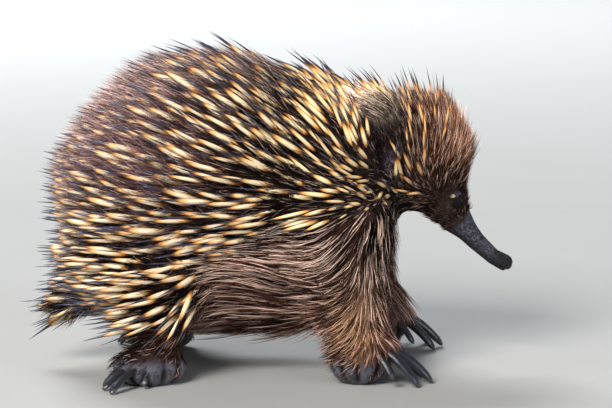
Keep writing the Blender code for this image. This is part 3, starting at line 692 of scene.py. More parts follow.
def coat_colour(finish, spot):
    """The coat's markings by place: near black between the spines of the shoulder, which is dark fur with
    painted shade of the spines over it, pinkish brown over the back and rump with a pale band along the
    middle that is painted rim light, dark red brown on the flank, ginger down the fore leg with a bright seam
    behind it, red brown on the head with a tan forehead, cream above the ears, dark in front of the eyes,
    near black round the ears as painted shade of their hollows, and a paler patch on each ear that is a
    painted highlight"""
    axes = finish.axes(spot)
    x, y, z = axes
    step = finish.step
    middle = 1 - step(y.math("ABSOLUTE", y), 16.0, 66.0)
    below = 1 - step(z - 0.6 * x, 82.0, 98.0)
    low = 1 - step(z, 56.0, 116.0)
    marks = {
        "back": (step(z, 90.0, 184.0) * step(x, -12.0, -120.0), (0.56, 0.32, 0.335)),
        # Pale along the middle of the back and rump: painted rim light along the outline
        "rump": (middle * step(x, 50.0, -60.0) * step(z, 66.0, 120.0) * 0.75, (0.74, 0.51, 0.46)),
        "flank": (below * step(x, -110.0, -50.0) * step(x, 76.0, 56.0), (0.17, 0.064, 0.044)),
        "fore leg": (low * step(x, 30.0, 50.0) * step(x, 112.0, 94.0), (0.32, 0.130, 0.092)),
        "shin": (step(x, 74.0, 98.0) * (1 - step(z, 64.0, 100.0)) * 0.8, (0.50, 0.30, 0.24)),
        "seam": (near(finish, axes, 61.0, 52.0, 15.0, tall=4.4), (1.0, 0.56, 0.30)),
        "head": (step(x, 90.0, 132.0) * step(z, 112.0, 165.0), (0.25, 0.088, 0.042)),
        "forehead": (near(finish, axes, 148.0, 172.0, 38.0), (0.84, 0.43, 0.27)),
        "above the ear": (near(finish, axes, 70.0, 204.0, 42.0, 24.0, 0.6), (1.0, 0.78, 0.62)),
        "by the eye": (near(finish, axes, 124.0, 124.0, 36.0), (0.030, 0.0095, 0.006)),
        # Near black round the ears: painted shade of the ears' hollows
        "round the ear": (near(finish, axes, 84.0, 166.0, 30.0, 40.0, 1.3), (0.026, 0.014, 0.014)),
        # Paler purple grey on the ear: a painted highlight
        "ear": (near(finish, axes, 86.0, 156.0, 9.5, 33.0, 1.6) * 0.6, (0.26, 0.18, 0.22)),
    }
    # Under all the marks the coat is near black, as on the shoulder: dark fur with painted shade between the
    # spines
    return finish.marked((0.016, 0.006, 0.004), marks)


def coat_finish(name, roughness=0.42, paler=0.0):
    """Hair: the markings at its root and a tone of its own, darkened to nearly black toward the root by
    painted shade of the coat's depth, and pale at the tip"""
    finish = Finish(name, Roughness=roughness, Specular_IOR_Level=0.10)
    root, along, chance = (finish.fact(fact) for fact in ("root", "along", "chance"))
    colour = coat_colour(finish, root)
    patch = finish.noise(root, 90.0, 3.0)
    x, y, z = finish.axes(root)
    side = (x, None, z)
    below = 1 - finish.step(z - 0.6 * x, 84.0, 100.0)
    fleece = below * finish.step(x, -90.0, -40.0) * finish.step(x, 96.0, 76.0)
    # The tuft above the ears: below, its hair is brightened by painted light that makes up for the shade it
    # lies in
    cream = near(finish, (x, y, z), 70.0, 204.0, 42.0, 24.0, 0.6)
    brow = near(finish, side, 142.0, 168.0, 46.0)
    # Fewer pale hairs round the ears, which keeps their painted shade, and in front of the eyes, whose hair
    # is dark
    dark = near(finish, side, 84.0, 160.0, 34.0, tall=1.3) + near(finish, side, 124.0, 124.0, 38.0)
    pale = finish.step(chance + 0.10 * fleece + paler * 0.34, 0.84, 0.96) * (1 - 0.6 * dark)
    high = finish.step(z, 50.0, 96.0)
    colour = finish.blend(pale * (0.4 + 0.55 * high * fleece + 0.3 * brow), colour, (1.0, 0.73, 0.60))
    power = 2.0 + 1.0 * fleece + 1.2 * brow
    tone = 0.05 + 0.35 * paler + (1.50 - 0.3 * paler + 0.6 * brow) * chance ** power
    tone = tone + 0.7 * (patch - 0.5)
    # Painted shade: the colour falls to near black toward the root, where the coat is deep
    light = tone * (0.10 + 1.30 * along ** 0.8) * (1 + 1.1 * cream)
    shade = finish.node("ShaderNodeCombineXYZ", None, {0: light, 1: light, 2: light})
    colour = finish.blend(1.0, colour, shade, "MULTIPLY")
    streak = finish.noise(finish.spot(), 900.0, 2.0)
    finish.feed(Base_Color=colour, Roughness=roughness - 0.1 + 0.2 * streak)
    finish.bump(streak, 0.25, 0.0006)
    return finish.material


def spine_finish():
    """Horn: brown at the root, cream in its middle with amber edges, and a slate point. Its blue, more toward
    the rump, is a painted reflection of the sky
    """
    finish = Finish("spine", Specular_IOR_Level=0.5, Coat_Roughness=0.2)
    spot, along, chance = finish.spot(), finish.fact("along"), finish.fact("chance")
    grain = finish.noise(spot, 420.0, 3.0)
    at = along + 0.05 * (grain - 0.5) + 0.07 * (chance - 0.5)
    # The point's last stops are dark slate, and their blue is a painted reflection of the sky
    colour = finish.ramp(
        at,
        (0.0, (0.010, 0.005, 0.003)), (0.10, (0.05, 0.016, 0.007)), (0.17, (0.42, 0.135, 0.025)),
        (0.24, (0.92, 0.50, 0.13)), (0.33, (1.0, 0.81, 0.48)), (0.47, (1.0, 0.82, 0.48)),
        (0.56, (0.90, 0.50, 0.13)), (0.62, (0.30, 0.10, 0.028)), (0.67, (0.018, 0.013, 0.015)),
        (0.80, (0.026, 0.030, 0.056)), (1.0, (0.055, 0.068, 0.135)),
    )
    # Toward the rump the whole spine is tinted blue: a painted reflection of the sky
    from_shoulder = finish.step(finish.axes(finish.fact("root"))[0], 60.0, -60.0)
    sky_reflection_blue = finish.blend(1.0, colour, (1.0, 1.06, 1.5), "MULTIPLY")
    colour = finish.blend(from_shoulder * 0.5, colour, sky_reflection_blue)
    on_head = finish.step(finish.axes(finish.fact("root"))[0], 86.0, 108.0)
    browner = finish.blend(1.0, colour, (0.80, 0.56, 0.33), "MULTIPLY")
    colour = finish.blend(on_head * 0.8, colour, browner)
    lines = finish.noise(finish.vector("MULTIPLY", spot, (1.0, 2.5, 2.5)), 900.0, 2.0)
    colour = finish.blend(0.45 * lines ** 2, colour, (0.60, 0.30, 0.09), "MULTIPLY")
    finish.feed(Base_Color=colour, Roughness=0.26 + 0.22 * grain, Coat_Weight=0.25 + 0.3 * lines)
    finish.bump(lines, 0.35, 0.0004)
    return finish.material


def skin_finish(name="skin", gloss=0.2):
    """Hide: under the coat it has the coat's markings, and it is bare, dark and finely pebbled on the beak,
    round the eyes, in the ears and on the soles and toes. Painted shade darkens the underside of the beak and
    the creases of the toes, and painted light puts a glint behind each eye, a catchlight at its corner and a
    highlight in each ear"""
    finish = Finish(name, Specular_IOR_Level=gloss)
    spot = finish.spot()
    axes = finish.axes(spot)
    x, _, z = axes
    step = finish.step
    coat = coat_colour(finish, spot)
    hair = finish.noise(finish.vector("MULTIPLY", spot, (1.0, 4.0, 4.0)), 260.0, 3.0)
    coat = finish.blend(0.25 + 0.5 * hair, coat, (0.012, 0.008, 0.007))
    beak = step(x - z, 25.0, 30.0) * step(x, 108.0, 116.0)
    # Painted shade: the lower part of the beak is darkened as if shaded from above
    under = step(x * 0.62 + z * 0.78, 167.5, 161.5)
    tip = step(x, 162.0, 169.0) * beak
    paw = 1 - step(z, 14.0, 24.0)
    eye = near(finish, axes, 137.0, 127.5, 13.0, 13.0, 1.5)
    ear = near(finish, axes, 90.0, 158.0, 20.0, 30.0)
    edges = {"feature": "DISTANCE_TO_EDGE"}
    pebble = finish.node("ShaderNodeTexVoronoi", edges, {"Vector": spot, "Scale": 1500.0})
    cloud = finish.noise(spot, 120.0, 4.0)
    wide_cloud = step(finish.noise(spot, 70.0, 3.0), 0.35, 0.65)
    mottle = step(finish.noise(spot, 520.0, 3.0, 0.6), 0.46, 0.62)
    # A painted reflection: purple grey glints on the pebbles behind each eye
    grain = near(finish, axes, 135.5, 132.5, 5.0, 15.5) * step(pebble, 0.05, 0.2)
    # A painted catchlight: a cream fleck at the rear corner of each eye
    corner = near(finish, axes, 131.4, 131.1, 3.4, 16.9, 0.66)
    # A painted highlight: a paler purple grey patch in the middle of each ear
    patch = near(finish, axes, 84.5, 157.0, 9.0, 31.0, 1.6)
    marks = {
        "mottle": (mottle * (0.25 + 0.6 * wide_cloud), (0.185, 0.170, 0.225)),
        "painted shade under the beak": (under * 0.75 * beak, (0.006, 0.006, 0.008)),
        "tip of the beak": (tip * 0.85, (0.006, 0.0055, 0.006)),
        "between pebbles": (1 - step(pebble, 0.0, 0.12), (0.008, 0.008, 0.011)),
        "paws": (paw * 0.75, (0.150, 0.150, 0.185)),
        # Painted shade: the creases of the toes are darkened
        "creases": (step(finish.fact("crease"), 0.1, 0.8), (0.010, 0.008, 0.010)),
        "round the eye": (step(eye, 0.0, 0.5) * 0.95, (0.004, 0.0035, 0.0045)),
        "painted glint behind the eye": (step(grain, 0.1, 0.5) * 0.8, (0.17, 0.14, 0.20)),
        "painted catchlight at the eye's corner": (step(corner, 0.2, 0.5), (1.0, 0.82, 0.54)),
        "ear": (ear * 0.7, (0.055, 0.038, 0.050)),
        "painted highlight in the middle of the ear": (patch * (0.3 + 0.7 * mottle), (0.24, 0.18, 0.24)),
    }
    plain = finish.blend(step(cloud, 0.3, 0.7), (0.010, 0.010, 0.014), (0.066, 0.062, 0.086))
    hide = finish.marked(plain, marks)
    bare = finish.node("ShaderNodeClamp", None, {"Value": beak + paw + eye + ear})
    rough = 0.56 - 0.08 * beak - 0.24 * tip - 0.2 * eye + 0.3 * (cloud - 0.5)
    finish.feed(Base_Color=finish.blend(bare, coat, hide), Roughness=rough)
    finish.bump(step(pebble, 0.0, 0.25) * 0.4 + cloud * 1.6 + mottle * 0.4 + hair * (1 - bare), 0.7, 0.0008)
    return finish.material


def claw_finish():
    """Horn of the claws: dark slate with fine grooves along it and a worn, paler end"""
    finish = Finish("claw", Specular_IOR_Level=0.5, Coat_Roughness=0.28)
    spot, along, around = finish.spot(), finish.fact("along"), finish.fact("chance")
    cloud = finish.noise(spot, 160.0, 4.0)
    place = finish.node("ShaderNodeCombineXYZ", None, {0: around * 26.0, 1: along * 1.5, 2: 0.0})
    groove = finish.noise(place, 1.0, 3.0)
    colour = finish.blend(cloud, (0.004, 0.005, 0.009), (0.016, 0.019, 0.036))
    colour = finish.blend(finish.step(along, 0.86, 1.0) * 0.4, colour, (0.10, 0.09, 0.085))
    colour = finish.blend(groove * 0.4, colour, (0.01, 0.01, 0.012))
    finish.feed(Base_Color=colour, Roughness=0.14 + 0.14 * cloud, Coat_Weight=0.5 + 0.4 * (1 - cloud))
    finish.bump(groove, 0.4, 0.0008)
    return finish.material


def eye_finish():
    """A dark wet eye: nearly black, with a brown ring round the pupil"""
    finish = Finish("eye", Roughness=0.05, Specular_IOR_Level=0.16)
    along = finish.fact("along")
    fibres = finish.noise(finish.spot(), 1500.0, 3.0)
    iris = finish.blend(fibres, (0.012, 0.007, 0.004), (0.05, 0.028, 0.014))
    ring = finish.step(along, 0.18, 0.24) * (1 - finish.step(along, 0.36, 0.5))
    colour = finish.blend(ring, (0.004, 0.004, 0.005), iris)
    finish.feed(Base_Color=colour, Roughness=0.04 + 0.04 * fibres)
    return finish.material


def floor_finish():
    finish = Finish("floor", Specular_IOR_Level=0.2)
    cloud = finish.noise(finish.spot(), 6.0, 4.0)
    fine = finish.noise(finish.spot(), 300.0, 3.0)
    far = finish.vector("LENGTH", finish.spot(), output="Value")
    colour = finish.blend(cloud, (0.40, 0.405, 0.40), (0.44, 0.445, 0.44))
    # Grey round the animal and pale far off: painted shade where the lamps light the floor most, paling where
    # their light falls away
    colour = finish.blend(finish.step(far, 0.3, 5.0), colour, (0.86, 0.875, 0.88))
    finish.feed(Base_Color=colour, Roughness=0.75 + 0.2 * fine)
    finish.bump(fine, 0.15, 0.0006)
    return finish.material


# Stage

def look_at(obj, target):
    way = Vector(target) - obj.location
    obj.rotation_mode = "QUATERNION"
    obj.rotation_quaternion = way.to_track_quat("-Z", "Y")


def make_camera():
    """Level with the photo: eight degrees above the floor, square to the animal's right side"""
    bpy.context.scene.view_settings.view_transform = "Standard"
    camera = bpy.data.objects.new("camera", bpy.data.cameras.new("camera"))
    bpy.context.scene.collection.objects.link(camera)
    distance, height_angle, seen = 2.2, math.radians(8), 0.459
    target = Vector((0.02966, 0, 0.1227))
    camera.location = target + distance * Vector((0, -math.cos(height_angle), math.sin(height_angle)))
    camera.data.sensor_width = 36
    camera.data.lens = 36 * distance / seen
    look_at(camera, target)
    bpy.context.scene.camera = camera


def make_light(name, place, size, power, colour):
    light = bpy.data.lights.new(name, "AREA")
    light.size, light.energy, light.color = size, power, colour
    lamp = bpy.data.objects.new(name, light)
    lamp.location = place
    look_at(lamp, (0, 0, 0.12))
    bpy.context.scene.collection.objects.link(lamp)


def make_stage():
    """A wide pale disc for the floor, a soft key from the left and above, a fill and a light from behind"""
    around = 96
    turns = np.linspace(0, 2 * np.pi, around, endpoint=False)
    reach = np.array((400, 1500, 8000))
    rings = reach[:, None, None] * np.stack([np.cos(turns), np.sin(turns), np.zeros(around)], axis=1)
    points = np.concatenate([rings.reshape(-1, 3), np.zeros((1, 3))]) - SHIFT
    k = np.arange(around)
    middle = np.stack([np.full(around, len(points) - 1), k, (k + 1) % around], axis=1)
    walls = ring_walls(around, len(reach))
    make_piece("floor", points, [walls, middle], floor_finish())
    make_light("key", (-2.1, -4.4, 3.4), 2.2, 470, (1.0, 0.96, 0.91))
    make_light("fill", (3.4, -3.0, 1.6), 2.0, 50, (0.90, 0.94, 1.0))
    make_light("behind", (-1.6, 3.6, 4.4), 2.4, 300, (0.96, 0.98, 1.0))
    world = bpy.data.worlds.new("studio")
    bpy.context.scene.world = world
    world.use_nodes = True
    sky = world.node_tree.nodes["Background"]
    sky.inputs["Color"].default_value = (0.86, 0.92, 1.0, 1)
    sky.inputs["Strength"].default_value = 0.20


# The animal

def ear_features(values, lines, body):
    """Hollows each ear out of the skin and raises a ridge round it: the ridge is a tube along an ellipse"""
    spot = np.ix_(*lines)
    for side in SIDES:
        at, out = side_surface(body, *EAR_AT, side)
        hollow = ball_distance(spot, at - out * 5, EAR_HOLLOW)
        values = np.maximum(values, -hollow)
        flat = [(spot[0] - at[0]) / EAR_SIZE[0], (spot[2] - at[2]) / EAR_SIZE[1]]
        ring = np.sqrt(flat[0] ** 2 + flat[1] ** 2)
        scale = np.hypot(spot[0] - at[0], spot[2] - at[2]) / np.maximum(ring, 1e-6)
        height = sum((s - a) * o for s, a, o in zip(spot, at - out * 9.0, out))
        low_front = 0.5 + 0.5 * (0.55 * flat[0] - 0.83 * flat[1]) / np.maximum(ring, 1e-6)
        rim = np.sqrt(((ring - 1) * scale) ** 2 + height**2) + EAR_RIM - 3.4 * low_front
        values = -1.5 * np.log(np.exp(-values / 1.5) + np.exp(-rim / 1.5))
    return values


def toe_creases(lines):
    """A crease between each toe and the next, and more behind: the shape sinks by a bell curve of the
    distance to the crease, from the middle of the paw outward"""
    spot = np.ix_(*lines)
    sunk = 0.0
    for _, side, centre, radii, height, claws in paws():
        ahead, beside = spot[0] - centre[0], (spot[1] - centre[1]) * side
        from_middle = np.hypot(ahead, beside)
        at_paw = smooth_step(from_middle, 0.35 * radii[0], 0.75 * radii[0]) * (from_middle < 2 * radii[0])
        at_paw = at_paw * smooth_step(spot[2], height + 8, height - 4)
        turns = [claw[0] for claw in claws]
        middles = [(a + b) / 2 for a, b in zip(turns, turns[1:])]
        behind = [turns[0] - 28, turns[0] - 62, turns[-1] + 30, turns[-1] + 66]
        for degrees in middles + behind:
            turn = math.radians(degrees)
            across = beside * math.cos(turn) - ahead * math.sin(turn)
            forward = ahead * math.cos(turn) + beside * math.sin(turn)
            sunk = sunk + CREASE_DEPTH * np.exp(-((across / CREASE_WIDTH) ** 2)) * at_paw * (forward > 0)
    return sunk


def make_skin(finish):
    """The skin lies inside the body's form by the coat's depth, and that is the base that the coat grows
    from. Ears, nostrils, the mouth's line and the creases are cut in it"""
    lines = [grid_lines(bands) for bands in (ALONG, ACROSS, UP)]
    values = body_values(lines)
    body = Field(lines, values)
    depth = guided(lines[0][:, None], lines[2][None, :], COAT_DEPTH)[..., 0]
    base_values = values + depth[:, None, :]
    base = Field(lines, base_values)
    shaped = ear_features(base_values, lines, body)
    spot = np.ix_(*lines)
    for side in SIDES:
        shaped = np.maximum(shaped, -ball_distance(spot, mirrored(NOSTRIL[0], side), NOSTRIL[1]))
    slope = math.radians(MOUTH_SLOPE)
    ahead, above = spot[0] - MOUTH_AT[0], spot[2] - MOUTH_AT[1]
    across_mouth = ahead * math.sin(slope) + above * math.cos(slope)
    along_mouth = ahead * math.cos(slope) - above * math.sin(slope)
    groove = np.exp(-((across_mouth / 0.7) ** 2)) * smooth_step(along_mouth, -8, 0)
    creases = toe_creases(lines)
    waves = np.sin(spot[0] * 1.9 + 1.1 * spot[1]) * np.sin(spot[1] * 1.7 + spot[2] * 2.1)
    shaped = shaped + MOUTH_DEPTH * groove + creases + 0.35 * smooth_step(spot[0], 161, 166) * waves
    shaped = np.maximum(shaped, -spot[2])
    points, faces = cut_surface(lines, shaped)
    form = Field(lines, shaped)
    for _ in range(2):
        over = form.at(points)
        points = points - np.clip(over, -1, 1)[:, None] * form.slope(points) * 0.8
    points[:, 2] = np.maximum(points[:, 2], 0)
    crease = Field(lines, creases).at(points) / CREASE_DEPTH
    piece = make_piece("skin", points, [faces], finish, crease=crease)
    return piece, points, faces, base, body


def make_claws(finish):
    """Each claw arches over its length, flatter below, and closes in a blunt round end"""
    stations = 20
    share = np.sin(np.linspace(0, np.pi / 2, stations))
    for name, side, centre, radii, height, claws in paws():
        paths, sides, ups, wide, deep = [], [], [], [], []
        for number, (_, _, width) in enumerate(claws):
            _, start, tip = toe_line(centre, radii, height, claws, number, side)
            run = tip - start
            length = np.linalg.norm(run)
            ahead = run / length
            s = share * (1 + 4 / length) - 4 / length
            arch = 0.4 * length * s * (1 - s) * (s > 0)
            path = start + run * s[:, None] + np.array((0, 0, 1)) * arch[:, None]
            across = unit(np.cross((0, 0, 1), ahead))
            form = np.interp(s, (-0.2, 0, 0.5, 0.85, 1), (0.8, 0.95, 1.0, 0.9, 0.76))
            end = np.sqrt(np.clip(1 - np.clip((share - 0.88) / 0.12, 0, 1) ** 2, 0, 1))
            paths.append(path)
            sides.append(np.repeat(across[None], stations, axis=0))
            ups.append(unit(np.cross(np.gradient(path, axis=0), across)))
            wide.append(width * 0.53 * form * end)
            deep.append(width * 0.53 * form * end * np.interp(s, (0, 1), (0.85, 0.6)))
        arrays = [np.array(part) for part in (paths, sides, ups, wide, deep)]
        points, faces, _ = swept(*arrays, CLAW_SIDES)
        along = np.tile(np.append(np.repeat(share[:-1], CLAW_SIDES), 1.0), len(claws))
        half_round = np.abs(2 * np.arange(CLAW_SIDES) / CLAW_SIDES - 1)
        around = np.tile(np.append(np.tile(half_round, stations - 1), 0.5), len(claws))
        piece = make_piece(name.replace("claw", "claws"), points, faces, finish, along=along, chance=around)
        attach(piece, "root")
        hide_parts(*(f"{name}_{k}" for k in range(1, 6)))


def make_eyes(finish, skin, body):
    """Each eye is a ball with a slight bulge at its front. Its lids are a ring that rises from the skin
    round it and rolls over the edge of the ball"""
    around, rings = 48, 24
    k = np.arange(around)
    n = (k + 1) % around
    for side, word in zip(SIDES, ("right", "left")):
        low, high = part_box("eye_" + word)
        centre = np.array((low + high) / 2) / MM - SHIFT
        out = body.out(centre[None] + np.array(((0, side * 3.0, 0),)))[0]
        level = unit(np.cross((0, 0, 1), out)) * side
        up = np.cross(out, level) * side
        turns = np.linspace(0, 2 * np.pi, around, endpoint=False)
        fall = np.linspace(0, np.pi, rings + 2)
        radius = EYE_RADIUS * (1 + 0.07 * np.exp(-((fall / 0.5) ** 2)))
        ball = radius[1:-1, None, None] * (
            np.cos(fall)[1:-1, None, None] * out
            + np.sin(fall)[1:-1, None, None] * (np.cos(turns)[:, None] * level + np.sin(turns)[:, None] * up)
        )
        poles = np.stack([out * radius[0], -out * radius[-1]])
        points = np.concatenate([ball.reshape(-1, 3), poles]) + centre
        walls, front, last = ring_walls(around, rings), np.full(around, rings * around), (rings - 1) * around
        caps = np.concatenate([np.stack([front, k, n], 1), np.stack([front + 1, n + last, k + last], 1)])
        if side > 0:
            walls, caps = walls[:, ::-1], caps[:, ::-1]
        along = np.append(np.repeat(fall[1:-1] / np.pi, around), (0, 1))
        piece = make_piece("eye_piece_" + word, points, [walls, caps], finish, along=along)
        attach(piece, "root")
        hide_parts("eye_" + word)

        stations = 15
        share = np.linspace(0, 1, stations)
        reach = np.interp(share, (0, 0.12, 0.3, 0.5, 0.75, 1), (3.0, 3.25, 4.1, 5.2, 6.8, 8.6))
        rise = np.interp(share, (0, 0.12, 0.3, 0.5, 0.75, 1), (2.6, 3.5, 3.75, 3.0, 1.6, -1.2))
        across = np.cos(turns)[None] * reach[:, None]
        tall = np.sin(turns)[None] * reach[:, None] * (1.05 - 0.05 * share[:, None])
        fold = 0.18 * np.sin(turns * 3 + 1)[None] * share[:, None]
        fold = fold + 0.25 * np.sin(9 * share)[:, None] * (np.sin(turns)[None] > 0)
        flat = across[..., None] * level + tall[..., None] * up
        ring = flat + (rise[:, None] + fold)[..., None] * out + centre
        walls = ring_walls(around, stations)
        if side > 0:
            walls = walls[:, ::-1]
        lids = make_piece("eyelids_" + word, ring.reshape(-1, 3), [walls], skin)
        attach(lids, "root")


def skirt(points):
    along, up = np.array(SPINE_SKIRT).T
    return np.interp(points[:, 0], along, up)


def ridge(points):
    """1 along the middle of the back, from the rump to the neck, 0 on the sides"""
    return smooth_step(np.abs(points[:, 1]), 68, 28) * smooth_step(points[:, 2], 56, 96)


def off_ear(points, margin):
    """1 away from the ear, 0 on it"""
    wide, tall = (size + margin for size in EAR_SIZE)
    ring = np.hypot((points[:, 0] - EAR_AT[0]) / wide, (points[:, 2] - EAR_AT[1]) / tall)
    return np.where(np.abs(points[:, 1]) > 18, smooth_step(ring, 0.9, 1.1), 1.0)


def on_beak(points):
    return (points[:, 0] - points[:, 2] > 27) & (points[:, 0] > 114)


def upper(p):
    return smooth_step(p[:, 2] - skirt(p), -10, 6)


def head(p):
    return smooth_step(p[:, 0], 72, 92) * smooth_step(p[:, 2], 104, 124)


def leg(p):
    fore, hind = np.abs(p[:, 0] - 67) < 45, np.abs(p[:, 0] + 86) < 42
    return (p[:, 2] < 78) * (np.abs(p[:, 1]) > 30) * (fore | hind) * 1.0


def foot(p):
    toes = smooth_step(p[:, 0], 72, 84) * (p[:, 2] < 44)
    return np.maximum(smooth_step(p[:, 2], 27, 15), toes * (p[:, 0] > 0))


def from_eye(p, along=137, up=124):
    return np.hypot(p[:, 0] - along, p[:, 2] - up)


def bare_eye(p, along=137.5, room=6):
    """Off the lids, whose middle is beside the head at this place"""
    return np.hypot(np.hypot(p[:, 0] - along, (p[:, 2] - 128) / 1.5), np.abs(p[:, 1]) - 13) > room


def low_thin(p):
    """Fuzz is half as long low on the sides, and its depth along the ridge is the outline's"""
    thin = 0.5 + 0.5 * np.maximum(smooth_step(p[:, 2], 84, 150), 0.4 * smooth_step(p[:, 0], -112, -140))
    deep = np.interp(p[:, 0], (-150, -128, -98, -62, -61.9, 6, 36), (0.78, 0.74, 1.02, 1.34, 1.62, 1.55, 1.0))
    return thin * (1 + (deep - 1) * ridge(p))


def bridge(p):
    return 0.7 + 0.55 * smooth_step(p[:, 2], 122, 150)


def crown(p):
    return 0.62 + 0.38 * smooth_step(p[:, 0], 112, 130)


def ankle(p):
    return 0.40 + 0.60 * smooth_step(p[:, 2], 22, 58)


# Each zone of the coat: its piece, how many tufts, where they grow, and the length, radius, lift, hairs,
# steps, spread, clump and wave of a tuft, with what else its look takes
ZONES = (
    ("fuzz_rump", 4300, lambda p, x, y, z: upper(p) * (x < -62),
     (27, 0.23, 42, 5, 2, 1.9, 0.25, 1.6), dict(stray=0.20, shorter=low_thin)),
    ("fuzz_back", 3140, lambda p, x, y, z: upper(p) * (x >= -62) * (x < 24),
     (21, 0.24, 24, 5, 2, 1.9, 0.3, 1.3), dict(stray=0.16, shorter=low_thin)),
    ("fuzz_shoulder", 2100, lambda p, x, y, z: upper(p) * (x >= 24) * (1 - head(p)) * off_ear(p, 0),
     (15, 0.22, 14, 5, 2, 1.6, 0.4, 0.6), {}),
    ("fleece_side", 1900, lambda p, x, y, z: (1 - upper(p)) * (x < 48) * (1 - leg(p)) * (x > -70),
     (40, 0.26, 12, 4, 4, 1.2, 0.6, 0.9), dict(stray=0.03)),
    ("fleece_hind", 660, lambda p, x, y, z: (1 - upper(p)) * (x <= -70) * (1 - leg(p)) * (x > -138),
     (36, 0.27, 14, 5, 3, 1.9, 0.4, 1.4), {}),
    ("tuft_tail", 330, lambda p, x, y, z: (x <= -132) * (z < 76) * 1.0,
     (12, 0.25, 12, 5, 2, 1.6, 0.4, 0.8), {}),
    ("fleece_chest", 830,
     lambda p, x, y, z: (1 - upper(p)) * (x >= 48) * (x < 104) * (1 - leg(p)) * (1 - head(p)) * ~on_beak(p),
     (32, 0.25, 16, 5, 3, 1.5, 0.45, 1.2), dict(stray=0.06)),
    ("hair_fore_legs", 1460, lambda p, x, y, z: leg(p) * (x > 0) * (1 - foot(p)),
     (28, 0.24, 13, 5, 3, 1.3, 0.5, 0.9), dict(stray=0.05, shorter=ankle)),
    ("hair_hind_legs", 820,
     lambda p, x, y, z: leg(p) * (x < 0) * (1 - foot(p)) * (1 + 1.6 * smooth_step(z, 50, 28)),
     (25, 0.25, 17, 5, 3, 1.6, 0.4, 1.2), dict(shorter=ankle)),
    ("bristle_crown", 3400, lambda p, x, y, z: head(p) * (z > 150) * off_ear(p, 1) * ~on_beak(p),
     (22, 0.18, 35, 4, 2, 1.1, 0.15, 0.2), dict(stray=0.045, shorter=crown)),
    ("bristle_cheek", 1620,
     lambda p, x, y, z: head(p) * (z <= 150) * off_ear(p, 1) * (from_eye(p) > 15) * ~on_beak(p),
     (11, 0.15, 19, 4, 2, 1.0, 0.25, 0.5), {}),
    ("velvet_face", 2700, lambda p, x, y, z: (from_eye(p, 137, 122) < 22) * ~on_beak(p) * bare_eye(p) * 1.0,
     (5.5, 0.13, 30, 4, 1, 0.6, 0.2, 0.2), dict(stray=0.05)),
    ("bristle_bridge", 1150,
     lambda p, x, y, z: (x > 126) * (np.abs(y) < 14) * (z > 112) * (z < 168) * ~on_beak(p)
     * bare_eye(p, 136.5, 6.5) * 1.0,
     (9.5, 0.15, 52, 4, 2, 0.6, 0.2, 0.2), dict(stray=0.04, shorter=bridge)),
    ("hair_ears", 640, lambda p, x, y, z: (1 - off_ear(p, 1.5)) * 1.0,
     (9, 0.17, 20, 3, 2, 0.9, 0.3, 0.6), {}),
    ("tuft_over_ears", 300, lambda p, x, y, z: (from_eye(p, 80, 200) < 12) * (np.abs(y) > 14) * 1.0,
     (26, 0.24, 22, 5, 3, 1.4, 0.35, 1.2), dict(turn=34)),
    ("bristle_feet", 700, lambda p, x, y, z: foot(p) * (z > 9) * 1.0,
     (7, 0.15, 12, 3, 2, 0.9, 0.3, 0.3), {}),
    ("strands_side", 760,
     lambda p, x, y, z: (1 - upper(p)) * (x < 54) * (x > -46) * (1 - leg(p))
     * (0.35 + smooth_step(z, 50, 90)),
     (50, 0.40, 15, 3, 5, 1.1, 0.75, 1.3), dict(stray=0.025)),
    ("strands_cheek", 260, lambda p, x, y, z: head(p) * (x < 128) * (z <= 140) * (from_eye(p) > 17) * 1.0,
     (13, 0.22, 24, 2, 2, 0.9, 0.1, 1.0), dict(stray=0.12)),
    ("strands_brow", 620, lambda p, x, y, z: head(p) * (x > 100) * (z > 136) * ~on_beak(p) * 1.0,
     (19, 0.27, 34, 2, 2, 0.8, 0.1, 0.3), dict(stray=0.05)),
    ("strands_fore_legs", 460, lambda p, x, y, z: leg(p) * (x > 30) * smooth_step(z, 22, 40),
     (34, 0.34, 16, 3, 4, 1.0, 0.7, 1.2), dict(stray=0.03, shorter=ankle)),
)


def spiny(p):
    """1 where spines grow: on the body above their skirt, on the crown and beside the neck, but not on the
    ears"""
    back = (p[:, 2] > skirt(p)) & (p[:, 0] < 96)
    top = (p[:, 0] >= 96) & (p[:, 0] < 126) & (p[:, 2] > 150 + (p[:, 0] - 96) * 0.7)
    side = (p[:, 0] >= 60) & (p[:, 0] < 112) & (p[:, 2] > 132)
    return (back | top | side) * (off_ear(p, 3) > 0.5) * 1.0


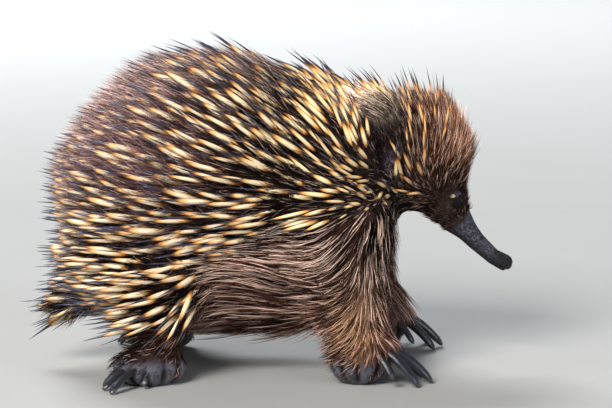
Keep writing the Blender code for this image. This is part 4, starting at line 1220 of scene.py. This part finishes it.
def spine_sizes(roots, rng):
    """The length, radius and lift of each spine: long and thick on the back, short and thin toward the
    face"""
    x, z, count = roots[:, 0], roots[:, 2], len(roots)
    length = np.interp(x, (-160, -60, 20, 60, 80, 120), (44, 58, 54, 43, 42, 41))
    length *= rng.uniform(0.74, 1.16, count)
    fine = 1 - 0.4 * smooth_step(x, 34, 52) * smooth_step(z, 146, 124) * (x < 84)
    length *= fine
    length *= np.where((x < -150) & (z < 80), 0.75, 1.0)
    length *= 1 - 0.16 * smooth_step(x, -70, -110) * smooth_step(z, 150, 185)
    radius = np.interp(x, (-160, -40, 40, 80, 120), (2.0, 2.2, 1.9, 1.45, 1.05))
    radius *= rng.uniform(0.62, 1.15, count)
    radius *= fine
    lift = np.interp(x, (-160, -40, 40, 80, 120), (19, 18, 16, 20, 28)) + rng.normal(0, 3.0, count)
    over = smooth_step(x, -40, -80) * smooth_step(z, 90, 120)
    lift += 5 * over - 8 * smooth_step(x, -90, -130) * smooth_step(z, 140, 170)
    radius *= 1 + 0.16 * over
    buried = ridge(roots) * smooth_step(x, -44, -92)
    length *= 1 - 0.24 * buried
    lift -= 9 * buried
    return length, radius, np.radians(lift)


def make_coat(points, faces, base):
    """The coat's tufts zone by zone, then the spines, whose roots are tries in a random order, thinned out"""
    rng = np.random.default_rng(SEED)
    fur, strand, horn = coat_finish("fur"), coat_finish("strand", 0.36, 1.0), spine_finish()
    pieces = []
    for name, count, where, look, more in ZONES:
        roots = scattered(points, faces, lambda p: where(p, *p.T), rng, count)
        hairs, steps = look[3:5]
        many = count * hairs * (6 * steps - 2) > MOST_TRIANGLES
        parts = (("_right", roots[:, 1] < 0), ("_left", roots[:, 1] >= 0)) if many else (("", slice(None)),)
        finish = strand if name.startswith("strands") else fur
        for word, part in parts:
            pieces.append(grow_tufts(name + word, base, roots[part], rng, finish, *look, **more))

    tries = scattered(points, faces, spiny, rng, SPINE_TRIES)
    rng.shuffle(tries)
    spacing = guided(tries[:, 0], tries[:, 2], SPINE_SPACING)[..., 0]
    spacing *= rng.uniform(0.85, 1.1, len(tries))
    roots = tries[thinned(tries, spacing)]
    for name, part in (("spines_body", roots[:, 0] <= 78), ("spines_head", roots[:, 0] > 78)):
        pieces.append(grow_spines(name, base, roots[part], rng, horn, *spine_sizes(roots[part], rng)))
    for piece in pieces:
        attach(piece, "root")


def main():
    make_camera()
    make_stage()
    hide, lid = skin_finish(), skin_finish("lid", 0.06)
    skin, points, faces, base, body = make_skin(hide)
    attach(skin, "root")
    flesh = [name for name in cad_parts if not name.startswith(("eye_", "fore_claw", "hind_claw"))]
    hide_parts(*sorted(flesh))
    make_eyes(eye_finish(), lid, body)
    make_claws(claw_finish())
    make_coat(points, faces, base)


main()
